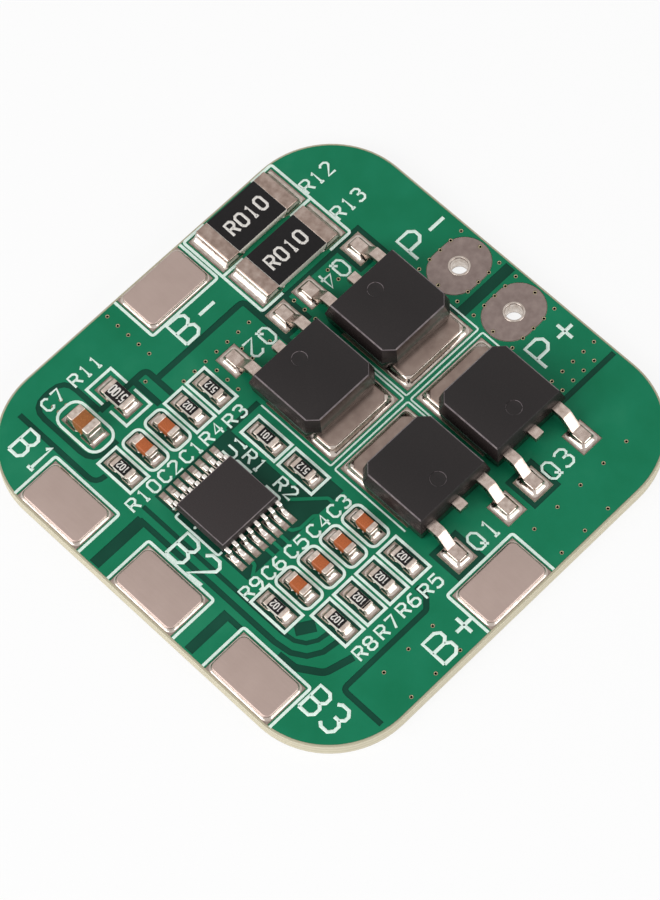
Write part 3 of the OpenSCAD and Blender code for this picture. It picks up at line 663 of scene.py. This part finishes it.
# %% Two legs and a stub
BEND_R, LEG_ROOT, LEG_OUT, LEG_FOOT, STUB_OUT = 0.26, 0.5, 0.75, 1.1, 0.7
LEG_RIM, STUB_RIM = 0.06, 0.05
leg_line = bent([(body_far + LEG_ROOT, parting), (body_far - LEG_OUT, parting),
                 (leg_tip + LEG_FOOT, LEG_T / 2), (leg_tip, LEG_T / 2)], BEND_R)
legs = []
for side in (-1, 1):
    leg = strip("leg", leg_line, LEG_W, LEG_T, side * leg_x)
    legs.append(rounded(leg, LEG_RIM))
stub = block("stub", (-LEG_W / 2, body_far - STUB_OUT, parting - LEG_T / 2),
             (LEG_W / 2, body_far + LEG_ROOT, parting + LEG_T / 2))
legs.append(rounded(stub, STUB_RIM))
legs = smooth(joined("legs", legs))
print("leg faces:", len(legs.data.polygons))

# %% [markdown]
# ## Solder
# Molten solder climbs a metal wall and runs out thin over its land, so a joint is hollow from the
# side. Metaballs look molten, but have no straight foot and no set height. Each joint here is a thin
# block with rounded corners whose top face is extruded in rings, each smaller and higher than the
# last, until it meets the wall.

# %% Solder finish
# Tin alloy that has melted and set: close to a mirror, with a slight ripple of its real 0.4 mm.
bright_solder = speckled("bright_reflowed_solder", ("#A89A90", "#BCB0A7", "#D0C6BE"), 0.17, 0.4, 0.004,
                         1.0, grain=0.2)
print("made", bright_solder.name)

# %% A mound of solder round a foot
RINGS = 9
SKIN = 0.012  # how thick solder is at its outer edge


def mound(name, foot_w, foot_l, spread_x, spread_y, height, corner):
    """Solder that runs from a foot at the origin out over its land, in mm."""
    w, l = foot_w + 2 * spread_x, foot_l + 2 * spread_y
    made = block(name, (-w / 2, -l / 2, 0), (w / 2, l / 2, SKIN))
    cut_edges(made, upright, corner, 5)
    choose(made, "FACE", faces_up)
    for i in range(1, RINGS + 1):
        left, was = 1 - i / RINGS, 1 - (i - 1) / RINGS
        extrude_up((height - SKIN) * ((1 - left) ** 2 - (1 - was) ** 2))
        bpy.ops.transform.resize(center_override=(0, 0, 0), value=(
            (foot_w + 2 * left * spread_x) / (foot_w + 2 * was * spread_x),
            (foot_l + 2 * left * spread_y) / (foot_l + 2 * was * spread_y), 1))
    leave()
    return smooth(made, 80)


# Spread along X and Y, height and corner of each kind of joint
LEG_SOLDER = (0.36, 0.36, 0.38, 0.3)
TAB_SOLDER = (0.33, 0.33, 0.42, 0.4)
PLATE_SOLDER = (0.15, 0.15, 0.17, 0.5)
TAB_FOOT = 1.6
leg_mound = mound("leg_mound", LEG_W, LEG_FOOT, *LEG_SOLDER)
tab_mound = mound("tab_mound", tab_w, TAB_FOOT, *TAB_SOLDER)
joints = [copied(leg_mound, "leg_solder", (side * leg_x, leg_tip + LEG_FOOT / 2, 0))
          for side in (-1, 1)]
joints.append(copied(tab_mound, "tab_solder", (0, tab_end - TAB_FOOT / 2, 0)))
transistor_solder = joined("transistor_solder", joints)
remove(leg_mound, tab_mound)

plate_mound = mound("plate_mound", plate_w, plate_l, *PLATE_SOLDER)
solder = [copied(plate_mound, node + "_solder", seat_of(node), turn) for node, turn in PLATES.items()]
remove(plate_mound)
print("solder under", len(solder), "plates")

# %% The soldered rims of the wire holes
HOLE_R, RIM_OUT, RIM_R, RIM_FLATNESS = 0.6, 0.085, 0.08, 0.45
deselect()
bpy.ops.mesh.primitive_torus_add(
    major_radius=(HOLE_R + RIM_OUT) * MM, minor_radius=RIM_R * MM,
    major_segments=48, minor_segments=10)
rim = bpy.context.object
choose(rim, "VERT", everything)
bpy.ops.transform.resize(value=(1, 1, RIM_FLATNESS), center_override=(0, 0, 0))
leave()
smooth(rim, 80)
rims = [copied(rim, node + "_rim", seat_of(node)) for node in ("terminal_p_minus", "terminal_p_plus")]
solder += rims
remove(rim)
print("rims:", len(rims))

# %% Place the transistors
for q, turn in ((1, 0), (2, 180), (3, 0), (4, 180)):
    part = f"q{q}"
    place = (middle_of(part + "_body")[0], PAIR_Y, SEAT)
    moulding = belongs(copied(body, part + "_moulding", place, turn), "epoxy", moulding_epoxy,
                       part + "_body")
    moulding.data.materials.append(painted_rim_highlight)
    moulding.data.materials.append(painted_reflection_wall)
    belongs(copied(tab, part + "_heat_tab", place, turn), "tinned_lead", tab_tin, part + "_tab")
    belongs(copied(legs, part + "_bent_legs", place, turn), "tinned_lead", leg_tin, part + "_legs")
    solder.append(copied(transistor_solder, part + "_solder", place, turn))
remove(body, tab, legs, transistor_solder)
print("transistors:", 4)

# %% [markdown]
# ## Protection chip
# The chip is a thin moulding with sixteen small legs bent in a gull wing. It is made as the
# transistors are, with the same tools: a block with a parting line and a little draft, and one bent
# strip, copied along a row. The second row is the first one, turned round.

# %% Chip body
# The same filled epoxy, ground finer for a thin package: dark grey and matt. Its 0.02 mm grain is
# drawn at 0.06 mm.
chip_epoxy = speckled("chip_epoxy", ("#231D1E", "#2A2424", "#342D2D"), 0.5, 0.06, 0.004,
                      Specular_IOR_Level=0.3)
CHIP_DRAFT, CHIP_RIM, CHIP_RIM_H = 0.1, 0.05, 0.06
chip_w, chip_l, _ = size_of("u1_body")
chip_low, chip_top = (corner[2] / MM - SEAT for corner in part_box("u1_body"))
chip_line = (chip_low + chip_top) / 2
chip = block("chip", (-chip_w / 2, -chip_l / 2, chip_low), (chip_w / 2, chip_l / 2, chip_top))
drafted(chip, chip_line, ((chip_low, CHIP_DRAFT), (chip_top, CHIP_DRAFT)), chip_w, chip_l)
rounded(chip, CHIP_RIM, angle=6)
smooth(chip)
# The chip's top rim gets the same painted highlight.
for face in chip.data.polygons:
    if face.center.z / MM > chip_top - CHIP_RIM_H and face.normal.z < 0.95:
        face.material_index = PAINTED_RIM_HIGHLIGHT
chip_place = seat_of("u1_body")
moulding = belongs(copied(chip, "u1_moulding", chip_place), "chip_epoxy", chip_epoxy, "u1_body")
moulding.data.materials.append(painted_rim_highlight)
remove(chip)
print("chip", round(chip_w, 2), "by", round(chip_l, 2), "mm")

# %% Chip legs and their solder
PITCH, FINE_W, FINE_T, FINE_RIM = 0.65, 0.28, 0.15, 0.025
FINE_ROOT, FINE_OUT, FINE_BEND, FINE_FOOT = 0.2, 0.33, 0.12, 0.48
FINE_SOLDER = (0.06, 0.26, 0.12, 0.08)
chip_span = size_of("u1_legs")[1]
fine_line = bent([(-chip_l / 2 + FINE_ROOT, chip_line), (-chip_l / 2 - FINE_OUT, chip_line),
                  (-chip_span / 2 + FINE_FOOT, FINE_T / 2), (-chip_span / 2, FINE_T / 2)], FINE_BEND, 3)
fine = smooth(rounded(strip("fine", fine_line, FINE_W, FINE_T), FINE_RIM, 1))
fine_mound = mound("fine_mound", FINE_W, FINE_FOOT, *FINE_SOLDER)
foot_y = -chip_span / 2 + FINE_FOOT / 2
leg_row = [(i - 3.5) * PITCH for i in range(8)]
chip_row = joined("chip_row", [copied(fine, "fine_leg", (x, 0, 0)) for x in leg_row])
mound_row = joined("mound_row", [copied(fine_mound, "fine_mound", (x, foot_y, 0)) for x in leg_row])
both = [copied(chip_row, "u1_legs_row", chip_place, turn) for turn in (0, 180)]
belongs(joined("u1_bent_legs", both), "tinned_lead", fine_tin_painted_light, "u1_legs")
solder += [copied(mound_row, "u1_solder", chip_place, turn) for turn in (0, 180)]
remove(fine, fine_mound, chip_row, mound_row)
print("chip legs:", 2 * len(leg_row))

# %% [markdown]
# ## Chip parts
# A chip resistor is a white ceramic tile with a black glaze on top and a tin cap round each end. A
# chip capacitor is a brown ceramic brick whose caps cover all sides of its ends, a little proud of
# the brick and rounded. They could be one block with three finishes, but then no edge would stand
# where cap meets ceramic. One of each size is modelled, standing along Y, and copied to its places.

# %% Ceramics, glaze and ink
# Fired alumina: chalk white and quite matt. Its grains of 0.005 mm are drawn at 0.06 mm.
alumina = speckled("white_alumina", ("#D8D1C6", "#E4DDD3", "#EEE9E1"), 0.6, 0.06, 0.002)
# Printed and fired glass: black, half glossy, and wavy from its own surface tension.
black_glaze = speckled("black_glaze", ("#0D0B0C", "#110E0F", "#151213"), 0.3, 0.2, 0.006,
                       Specular_IOR_Level=0.2)
# Ink stamped on the glaze: thin, off-white and matt.
code_ink = speckled("white_code_ink", ("#D5CFC8", "#E4DFD9", "#EFECE8"), 0.5, 0.08, 0.001)
# Fired titanate: satin, orange in the small bricks and browner in the big one. Its grains of
# 0.001 mm are drawn at 0.07 mm.
orange_brick = speckled(
    "fired_titanate_orange", ("#984819", "#AE5825", "#BE6834"), 0.42, 0.07, 0.004)
brown_brick = speckled(
    "fired_titanate_brown", ("#824814", "#96561F", "#A8692F"), 0.42, 0.07, 0.004)
print("made", alumina.name, black_glaze.name, code_ink.name, orange_brick.name, brown_brick.name)

# %% Cap finishes
# Tin plated on the ends in a tumbling barrel: pale, softly dented and less bright than solder. The
# shunts' wide caps are copper that the solder has wetted, so they are browner.
cap_tin = speckled("matt_tin_cap", ("#AD9C91", "#C3B4A9", "#DACEC5"), 0.32, 0.3, 0.008, 1.0)
shunt_tin = speckled(
    "brown_tin_shunt_cap", ("#857268", "#9A877D", "#AD9C92"), 0.36, 0.5, 0.006, 1.0)
print("made", cap_tin.name, shunt_tin.name)

# %% The pieces of a chip part
DENT, DENT_EDGE = 0.008, 0.16  # a cap's dent in mm, and its edge as a share of the cap
POOL_SIDE, POOL_CORNER = 0.05, 0.26


def tile(name, w, l, h, soft, segments=2):
    """A block standing on z = 0 with soft edges."""
    made = block(name, (-w / 2, -l / 2, 0), (w / 2, l / 2, h))
    return smooth(rounded(made, soft, segments), 50)


def lifted(piece, z):
    piece.data.transform(Matrix.Translation((0, 0, z * MM)))
    return piece


def end_pair(name, w, l, h, cap, soft, dent=DENT):
    """Two end caps: blocks with a hollow dent pressed into the top, as printed metal has."""
    caps = []
    for side in (-1, 1):
        inner, outer = side * (l / 2 - cap), side * (l / 2)
        made = block(name, (-w / 2, min(inner, outer), 0), (w / 2, max(inner, outer), h))
        choose(made, "FACE", faces_up)
        bpy.ops.mesh.inset(thickness=DENT_EDGE * cap * MM, depth=0)
        bpy.ops.transform.translate(value=(0, 0, -dent * MM))
        leave()
        caps.append(smooth(rounded(made, soft, 3), 60))
    return joined(name, caps)


def resistor_kit(w, l, h, cap):
    core = tile("core", w - 0.02, l - 0.06, h - 0.03, 0.02)
    glaze = lifted(tile("glaze", w - 0.05, l - 2 * cap, 0.05, 0.02), h - 0.04)
    ends = end_pair("ends", w, l, h, cap, min(0.06, 0.12 * h))
    return core, glaze, ends


def capacitor_kit(w, l, h, cap):
    brick = lifted(tile("brick", w - 0.06, l - 0.1, h - 0.06, 0.05), 0.03)
    ends = end_pair("ends", w, l, h, cap, 0.08)
    return brick, ends


def end_solder(w, l, h, cap, climb, reach=0.42):
    """Solder round both end caps of a part, up to a share of its height."""
    pool = mound("pool", w, cap, POOL_SIDE, reach, climb * h, POOL_CORNER)
    pair = [copied(pool, "pool", (0, side * (l - cap) / 2, 0)) for side in (-1, 1)]
    remove(pool)
    return joined("end_solder", pair)


# %% Sizes and places of the chip parts
def top_over(node, above=0.03):
    """The height of a ceramic's caps over the lands: they stand a little above the ceramic."""
    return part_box(node)[1][2] / MM - SEAT + above


CHIP_W, CHIP_L, BIG_W, BIG_L = 0.85, 1.6, 1.25, 2.0
# Width, length, height and cap of each kind
SMALL_R = (CHIP_W, CHIP_L, top_over("r1_core"), 0.3)
BIG_R = (BIG_W, BIG_L, top_over("r11_core"), 0.32)
SMALL_C = (CHIP_W, CHIP_L, top_over("c1_block"), 0.36)
BIG_C = (BIG_W, BIG_L, top_over("c7_block"), 0.56)
resistors = {f"r{n}": seat_of(f"r{n}_core") for n in range(1, 12)}
capacitors = {f"c{n}": seat_of(f"c{n}_block") for n in range(1, 8)}
print("resistors", len(resistors), "capacitors", len(capacitors))

# %% Place the resistors
R_CLIMB, C_CLIMB = 0.8, 0.55
kits = {"small": resistor_kit(*SMALL_R), "big": resistor_kit(*BIG_R)}
pools = {"small": end_solder(*SMALL_R, R_CLIMB), "big": end_solder(*BIG_R, R_CLIMB)}
glazes, ends = [], []
for name, place in resistors.items():
    kind = "big" if name == "r11" else "small"
    core, glaze, cap = kits[kind]
    belongs(copied(core, name + "_ceramic", place), "alumina", alumina, name + "_core")
    glazes.append(copied(glaze, name + "_glaze", place))
    ends.append(copied(cap, name + "_caps", place))
    solder.append(copied(pools[kind], name + "_solder", place))
belongs(joined("resistor_glazes", glazes), "coat", black_glaze, "resistor_coats")
belongs(joined("resistor_caps", ends), "end_cap", cap_tin, "resistor_end_caps")
remove(*kits["small"], *kits["big"], *pools.values())
print("resistors placed:", len(resistors))

# %% Place the capacitors
BRICKS = {"small": ("capacitor_brown", orange_brick), "big": ("capacitor_dark", brown_brick)}
kits = {"small": capacitor_kit(*SMALL_C), "big": capacitor_kit(*BIG_C)}
pools = {"small": end_solder(*SMALL_C, C_CLIMB), "big": end_solder(*BIG_C, C_CLIMB)}
ends = []
for name, place in capacitors.items():
    kind = "big" if name == "c7" else "small"
    brick, cap = kits[kind]
    belongs(copied(brick, name + "_ceramic", place), *BRICKS[kind], name + "_block")
    ends.append(copied(cap, name + "_caps", place))
    solder.append(copied(pools[kind], name + "_solder", place))
belongs(joined("capacitor_caps", ends), "end_cap", cap_tin, "capacitor_end_caps")
remove(*kits["small"], *kits["big"], *pools.values())
print("capacitors placed:", len(capacitors))

# %% [markdown]
# ## Shunt resistors
# The two big resistors carry the pack's current. They lie along X, with wide caps that the solder
# has run up, and a thick black coat. The same tools make them, along Y as before, and the copies are
# turned.

# %% Shunts
SHUNT_W, SHUNT_L, SHUNT_CAP = 3.2, 6.4, 1.0
shunt_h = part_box("shunt_end_caps")[1][2] / MM - SEAT
core = tile("core", SHUNT_W - 0.04, SHUNT_L - 0.1, shunt_h - 0.03, 0.03)
coat = tile("coat", SHUNT_W - 0.06, SHUNT_L - 2 * SHUNT_CAP, 0.06, 0.03, 3)
coat = lifted(coat, shunt_h - 0.05)
caps = end_pair("caps", SHUNT_W, SHUNT_L, shunt_h, SHUNT_CAP, 0.08, dent=0.015)
pools = end_solder(SHUNT_W, SHUNT_L, shunt_h, SHUNT_CAP, climb=0.85, reach=0.55)
shunts = {name: seat_of(name + "_core") for name in ("r12", "r13")}
coats, shunt_caps = [], []
for name, place in shunts.items():
    belongs(copied(core, name + "_ceramic", place, 90), "alumina", alumina, name + "_core")
    coats.append(copied(coat, name + "_coat", place, 90))
    shunt_caps.append(copied(caps, name + "_caps", place, 90))
    solder.append(copied(pools, name + "_solder", place, 90))
belongs(joined("shunt_black_coats", coats), "coat", black_glaze, "shunt_coats")
belongs(joined("shunt_caps", shunt_caps), "end_cap", shunt_tin, "shunt_end_caps")
remove(core, coat, caps, pools)
belongs(joined("reflowed_solder", solder), "solder", bright_solder, "solder_joints")

# %% [markdown]
# ## Printed letters
# Board lettering is drawn by a pen of one width, so each letter is a list of strokes on a grid six
# high and four wide. A text object would bring a font with thick and thin parts. A curve with a round
# bevel draws the strokes instead, and pressing its mesh flat leaves the low dome of dried ink.

# %% Strokes of each letter
GLYPHS = {
    "0": ["0 1, 0 5, 1 6, 3 6, 4 5, 4 1, 3 0, 1 0, 0 1"],
    "1": ["1 5, 2 6, 2 0", "1 0, 3 0"],
    "2": ["0 5, 1 6, 3 6, 4 5, 4 4, 0 0, 4 0"],
    "3": ["0 5.4, 1 6, 3 6, 4 5, 4 4, 3 3.2, 1.6 3.2", "3 3.2, 4 2.3, 4 1, 3 0, 1 0, 0 0.7"],
    "4": ["3 0, 3 6, 0 2, 4 2"],
    "5": ["4 6, 0.4 6, 0 3.4, 1 3.9, 3 3.9, 4 3, 4 1, 3 0, 1 0, 0 0.7"],
    "6": ["3.6 6, 1.6 6, 0 4, 0 1, 1 0, 3 0, 4 1, 4 2.4, 3 3.4, 1 3.4, 0 2.4"],
    "7": ["0 6, 4 6, 1.4 0"],
    "8": ["1 3.2, 0 4.1, 0 5.1, 1 6, 3 6, 4 5.1, 4 4.1, 3 3.2, "
          "1 3.2, 0 2.3, 0 0.9, 1 0, 3 0, 4 0.9, 4 2.3, 3 3.2"],
    "9": ["4 3.6, 3 2.6, 1 2.6, 0 3.6, 0 5, 1 6, 3 6, 4 5, 4 2, 2.6 0, 0.6 0"],
    "B": ["0 0, 0 6, 3 6, 4 5.2, 4 4, 3 3.1, 0 3.1", "3 3.1, 4 2.3, 4 0.9, 3 0, 0 0"],
    "C": ["4 4.9, 3 6, 1.2 6, 0 4.8, 0 1.2, 1.2 0, 3 0, 4 1.1"],
    "P": ["0 0, 0 6, 3 6, 4 5, 4 3.6, 3 2.6, 0 2.6"],
    "Q": ["0 1.3, 0 4.7, 1.2 6, 2.8 6, 4 4.7, 4 1.3, 2.8 0, 1.2 0, 0 1.3", "2.4 1.8, 4.2 -0.2"],
    "R": ["0 0, 0 6, 3 6, 4 5.1, 4 3.9, 3 3, 0 3", "2 3, 4 0"],
    "U": ["0 6, 0 1.2, 1.2 0, 2.8 0, 4 1.2, 4 6"],
    "+": ["2 0.9, 2 5.1", "0 3, 4 3"],
    "-": ["0 3, 4 3"],
}
GRID_H, GRID_W, GRID_STEP = 6, 4, 6.1
FLATNESS = 0.2
print("letters:", "".join(GLYPHS))


# %% Draw words
def lettering(name, words, lift):
    """Words as strokes. Each is (text, x, y, height, turn, pen, squeeze), its middle at x, y in mm."""
    pieces = []
    for text, x, y, height, turn, pen, squeeze in words:
        unit = height / GRID_H
        step = GRID_STEP * unit * squeeze
        width = step * (len(text) - 1) + GRID_W * unit * squeeze
        spin = Matrix.Rotation(math.radians(turn), 2)
        curve = bpy.data.curves.new(text, "CURVE")
        curve.dimensions = "3D"
        curve.bevel_depth = pen / 2 * MM
        curve.bevel_resolution = 1
        curve.use_fill_caps = True
        for i, letter in enumerate(text):
            for stroke in GLYPHS[letter]:
                corners = [[float(n) for n in pair.split()] for pair in stroke.split(",")]
                spline = curve.splines.new("POLY")
                spline.points.add(len(corners) - 1)
                for point, (u, v) in zip(spline.points, corners):
                    along = u * unit * squeeze + i * step - width / 2
                    at = spin @ Vector((along, v * unit - height / 2))
                    point.co = ((at.x + x) * MM, (at.y + y) * MM, 0, 1)
        word = bpy.data.objects.new(text, curve)
        bpy.context.scene.collection.objects.link(word)
        take(word)
        bpy.ops.object.convert(target="MESH")
        pieces.append(bpy.context.object)
    letters = joined(name, pieces)
    flat = Matrix.Diagonal((1, 1, FLATNESS, 1))
    letters.data.transform(Matrix.Translation((0, 0, lift * MM)) @ flat)
    return smooth(letters, 60)


# %% Words on the board
# Places are counted from the board's lower left corner. Each list gives a text, x, y and its turn.
HALF = 17.25
PART_WORDS = [
    ("R10", 5.8, 22.8, 0), ("C2", 8.15, 22.8, 0), ("C1", 10.1, 22.8, 0), ("R4", 11.95, 22.75, 0),
    ("R3", 13.9, 22.6, 0), ("U1", 12.3, 20.95, 0), ("R1", 12.5, 19.35, -90), ("R2", 12.5, 16.5, -90),
    ("C7", 6.45, 32.05, 0), ("R11", 9.4, 32.05, 0), ("R9", 6.05, 13.1, 0), ("C6", 8.0, 13.1, 0),
    ("C5", 10.05, 13.1, 0), ("C4", 12.05, 13.1, 0), ("C3", 13.95, 13.15, 0), ("R8", 8.1, 5.0, 0),
    ("R7", 10.1, 5.0, 0), ("R6", 12.1, 5.1, 0), ("R5", 14.05, 5.0, 0),
]
TRANSISTOR_WORDS = [
    ("Q1", 18.9, 5.08, 0), ("Q3", 25.8, 5.08, 0), ("Q2", 18.85, 25.25, 180), ("Q4", 25.8, 25.3, 180),
]
SHUNT_WORDS = [("R12", 30.2, 31.35, 0), ("R13", 30.2, 28.4, 0)]
# The terminals' names also have a squeeze of their own.
TERMINAL_WORDS = [
    ("B-", 17.1, 29.6, 0, 1.05), ("B+", 12.5, 1.6, 0, 1.05), ("P-", 32.1, 23.05, 0, 1.05),
    ("P+", 32.1, 11.35, 0, 1.05), ("B1", 3.05, 30.3, -90, 0.78), ("B2", 4.95, 17.2, -90, 1.0),
    ("B3", 3.4, 3.85, -90, 0.85),
]
words = []
for group, height, pen, squeeze in ((PART_WORDS, 0.9, 0.17, 1.0), (TRANSISTOR_WORDS, 1.3, 0.18, 0.95),
                                    (SHUNT_WORDS, 1.0, 0.17, 0.92)):
    words += [(text, x - HALF, y - HALF, height, turn, pen, squeeze) for text, x, y, turn in group]
words += [(text, x - HALF, y - HALF, 1.95, turn, 0.25, squeeze)
          for text, x, y, turn, squeeze in TERMINAL_WORDS]
belongs(lettering("board_letters", words, SEAT + 0.01), "print", screen_ink)
print("words printed:", len(words))

# %% Values on the resistors
CODE_LIFT = 0.012
SMALL_CODES = {"r1": "101", "r2": "512", "r3": "512"}
small_words = [(SMALL_CODES.get(name, "102"), x, y, 0.44, 90, 0.095, 0.64)
               for name, (x, y, _) in resistors.items() if name != "r11"]
big_words = [("5100", *resistors["r11"][:2], 0.66, 90, 0.12, 0.5)]
shunt_words = [("R010", x, y, 1.05, 0, 0.2, 0.82) for x, y, _ in shunts.values()]
for name, words, height in (("small_value_codes", small_words, SMALL_R[2]),
                            ("big_value_code", big_words, BIG_R[2]),
                            ("shunt_value_codes", shunt_words, shunt_h)):
    belongs(lettering(name, words, SEAT + height + CODE_LIFT), "print", code_ink)
print("value codes:", len(small_words) + len(big_words) + len(shunt_words))

# %% [markdown]
# ## Studio
# The board lies on a plain white floor. A key lamp stands high at its left, and two low lamps, left
# and in front, put the white lines on solder and edges. A bright world would whiten the floor, but
# also wash out the dark parts. So floor and world are white only to rays from the camera and from
# mirrors, and a dimmer world fills the shadows. The floor keeps the board's shadow, and is clear
# from below, which shows the underside.

# %% Floor
def seen_straight(made):
    """1 for rays from the camera and rays that metal or glass passes on, else 0."""
    seen = 0.0
    for kind in ("Is Camera Ray", "Is Glossy Ray", "Is Transmission Ray"):
        ray = add(made, "ShaderNodeLightPath", {}, out=kind)
        seen = add(made, "ShaderNodeMath", {0: seen, 1: ray}, operation="MAXIMUM")
    return seen


FLOOR_Z, FLOOR_R = -0.02, 1.2  # in mm and in m
OWN_LIGHT = 0.85
deselect()
bpy.ops.mesh.primitive_circle_add(
    vertices=64, radius=FLOOR_R, fill_type="NGON", location=(0, 0, FLOOR_Z * MM))
floor = bpy.context.object
floor.name = "floor"
# White card: matt, with most of its white its own light, so that it has no edge against the world.
white_floor = finish("white_floor", "#F7F7F7", 0.8)
share = add(white_floor, "ShaderNodeMath", {0: seen_straight(white_floor), 1: OWN_LIGHT},
            operation="MULTIPLY")
above = add(white_floor, "ShaderNodeMixShader", {
    0: share,
    1: white_floor.node_tree.nodes["Principled BSDF"].outputs[0],
    2: add(white_floor, "ShaderNodeEmission", {"Color": (1, 1, 1, 1), "Strength": 1.0})})
sided = add(white_floor, "ShaderNodeMixShader", {
    0: add(white_floor, "ShaderNodeNewGeometry", {}, out="Backfacing"),
    1: above,
    2: add(white_floor, "ShaderNodeBsdfTransparent", {})})
surface = white_floor.node_tree.nodes["Material Output"].inputs["Surface"]
white_floor.node_tree.links.new(sided, surface)
floor.data.materials.append(white_floor)
print("floor", FLOOR_R, "m round")

# %% World
FILL = 0.42
world = bpy.context.scene.world or bpy.data.worlds.new("studio")
bpy.context.scene.world = world
world.use_nodes = True
world.node_tree.nodes.clear()
strength = add(world, "ShaderNodeMapRange", {
    "Value": seen_straight(world), "To Min": FILL, "To Max": 1.0})
even = add(world, "ShaderNodeBackground", {"Color": (1, 1, 1, 1), "Strength": strength})
add(world, "ShaderNodeOutputWorld", {"Surface": even})
print("world fills shadows at", FILL)


# %% Lamps
def towards(azimuth, elevation):
    """The direction from the board to a point at these angles, with azimuth 0 in front."""
    a, e = math.radians(azimuth), math.radians(elevation)
    return Vector((math.sin(a) * math.cos(e), -math.cos(a) * math.cos(e), math.sin(e)))


def lamp(name, azimuth, elevation, distance, across, brightness):
    """A square area lamp that faces the board, in m. At a brightness of 1 a mirror shows it white."""
    back = towards(azimuth, elevation)
    light = bpy.data.lights.new(name, "AREA")
    light.size = across
    light.energy = brightness * math.pi * across ** 2
    made = bpy.data.objects.new(name, light)
    bpy.context.scene.collection.objects.link(made)
    made.location = back * distance
    made.rotation_mode = "QUATERNION"
    made.rotation_quaternion = back.to_track_quat("Z", "Y")


lamp("key_softbox", -95, 48, 0.5, 0.22, 3.8)
lamp("left_softbox", -110, 20, 0.45, 0.3, 4.0)
lamp("front_softbox", 17, 20, 0.45, 0.3, 3.6)
print("lamps:", len(bpy.data.lights))

# %% [markdown]
# ## Camera
# The camera looks down at the board from its lower corner, through a long lens. A short one would
# spread the near corner.

# %% Camera
CAMERA_AZIMUTH, CAMERA_ELEVATION, CAMERA_ROLL = -40.0, 64.0, -5.72
CAMERA_DISTANCE = 0.2439
TARGET = Vector((-0.47, -0.41, 0.0)) * MM
back = towards(CAMERA_AZIMUTH, CAMERA_ELEVATION)
lens = bpy.data.cameras.new("camera")
lens.sensor_width = 36
lens.lens = 150.12
lens.clip_start, lens.clip_end = 0.01, 10
camera = bpy.data.objects.new("camera", lens)
bpy.context.scene.collection.objects.link(camera)
camera.location = TARGET + back * CAMERA_DISTANCE
camera.rotation_mode = "QUATERNION"
camera.rotation_quaternion = (-back).to_track_quat("-Z", "Y") @ Matrix.Rotation(
    math.radians(CAMERA_ROLL), 4, "Z").to_quaternion()
bpy.context.scene.camera = camera
bpy.context.scene.view_settings.view_transform = "Standard"
print("camera", CAMERA_DISTANCE, "m away")

# %% Finish
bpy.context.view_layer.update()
deselect()
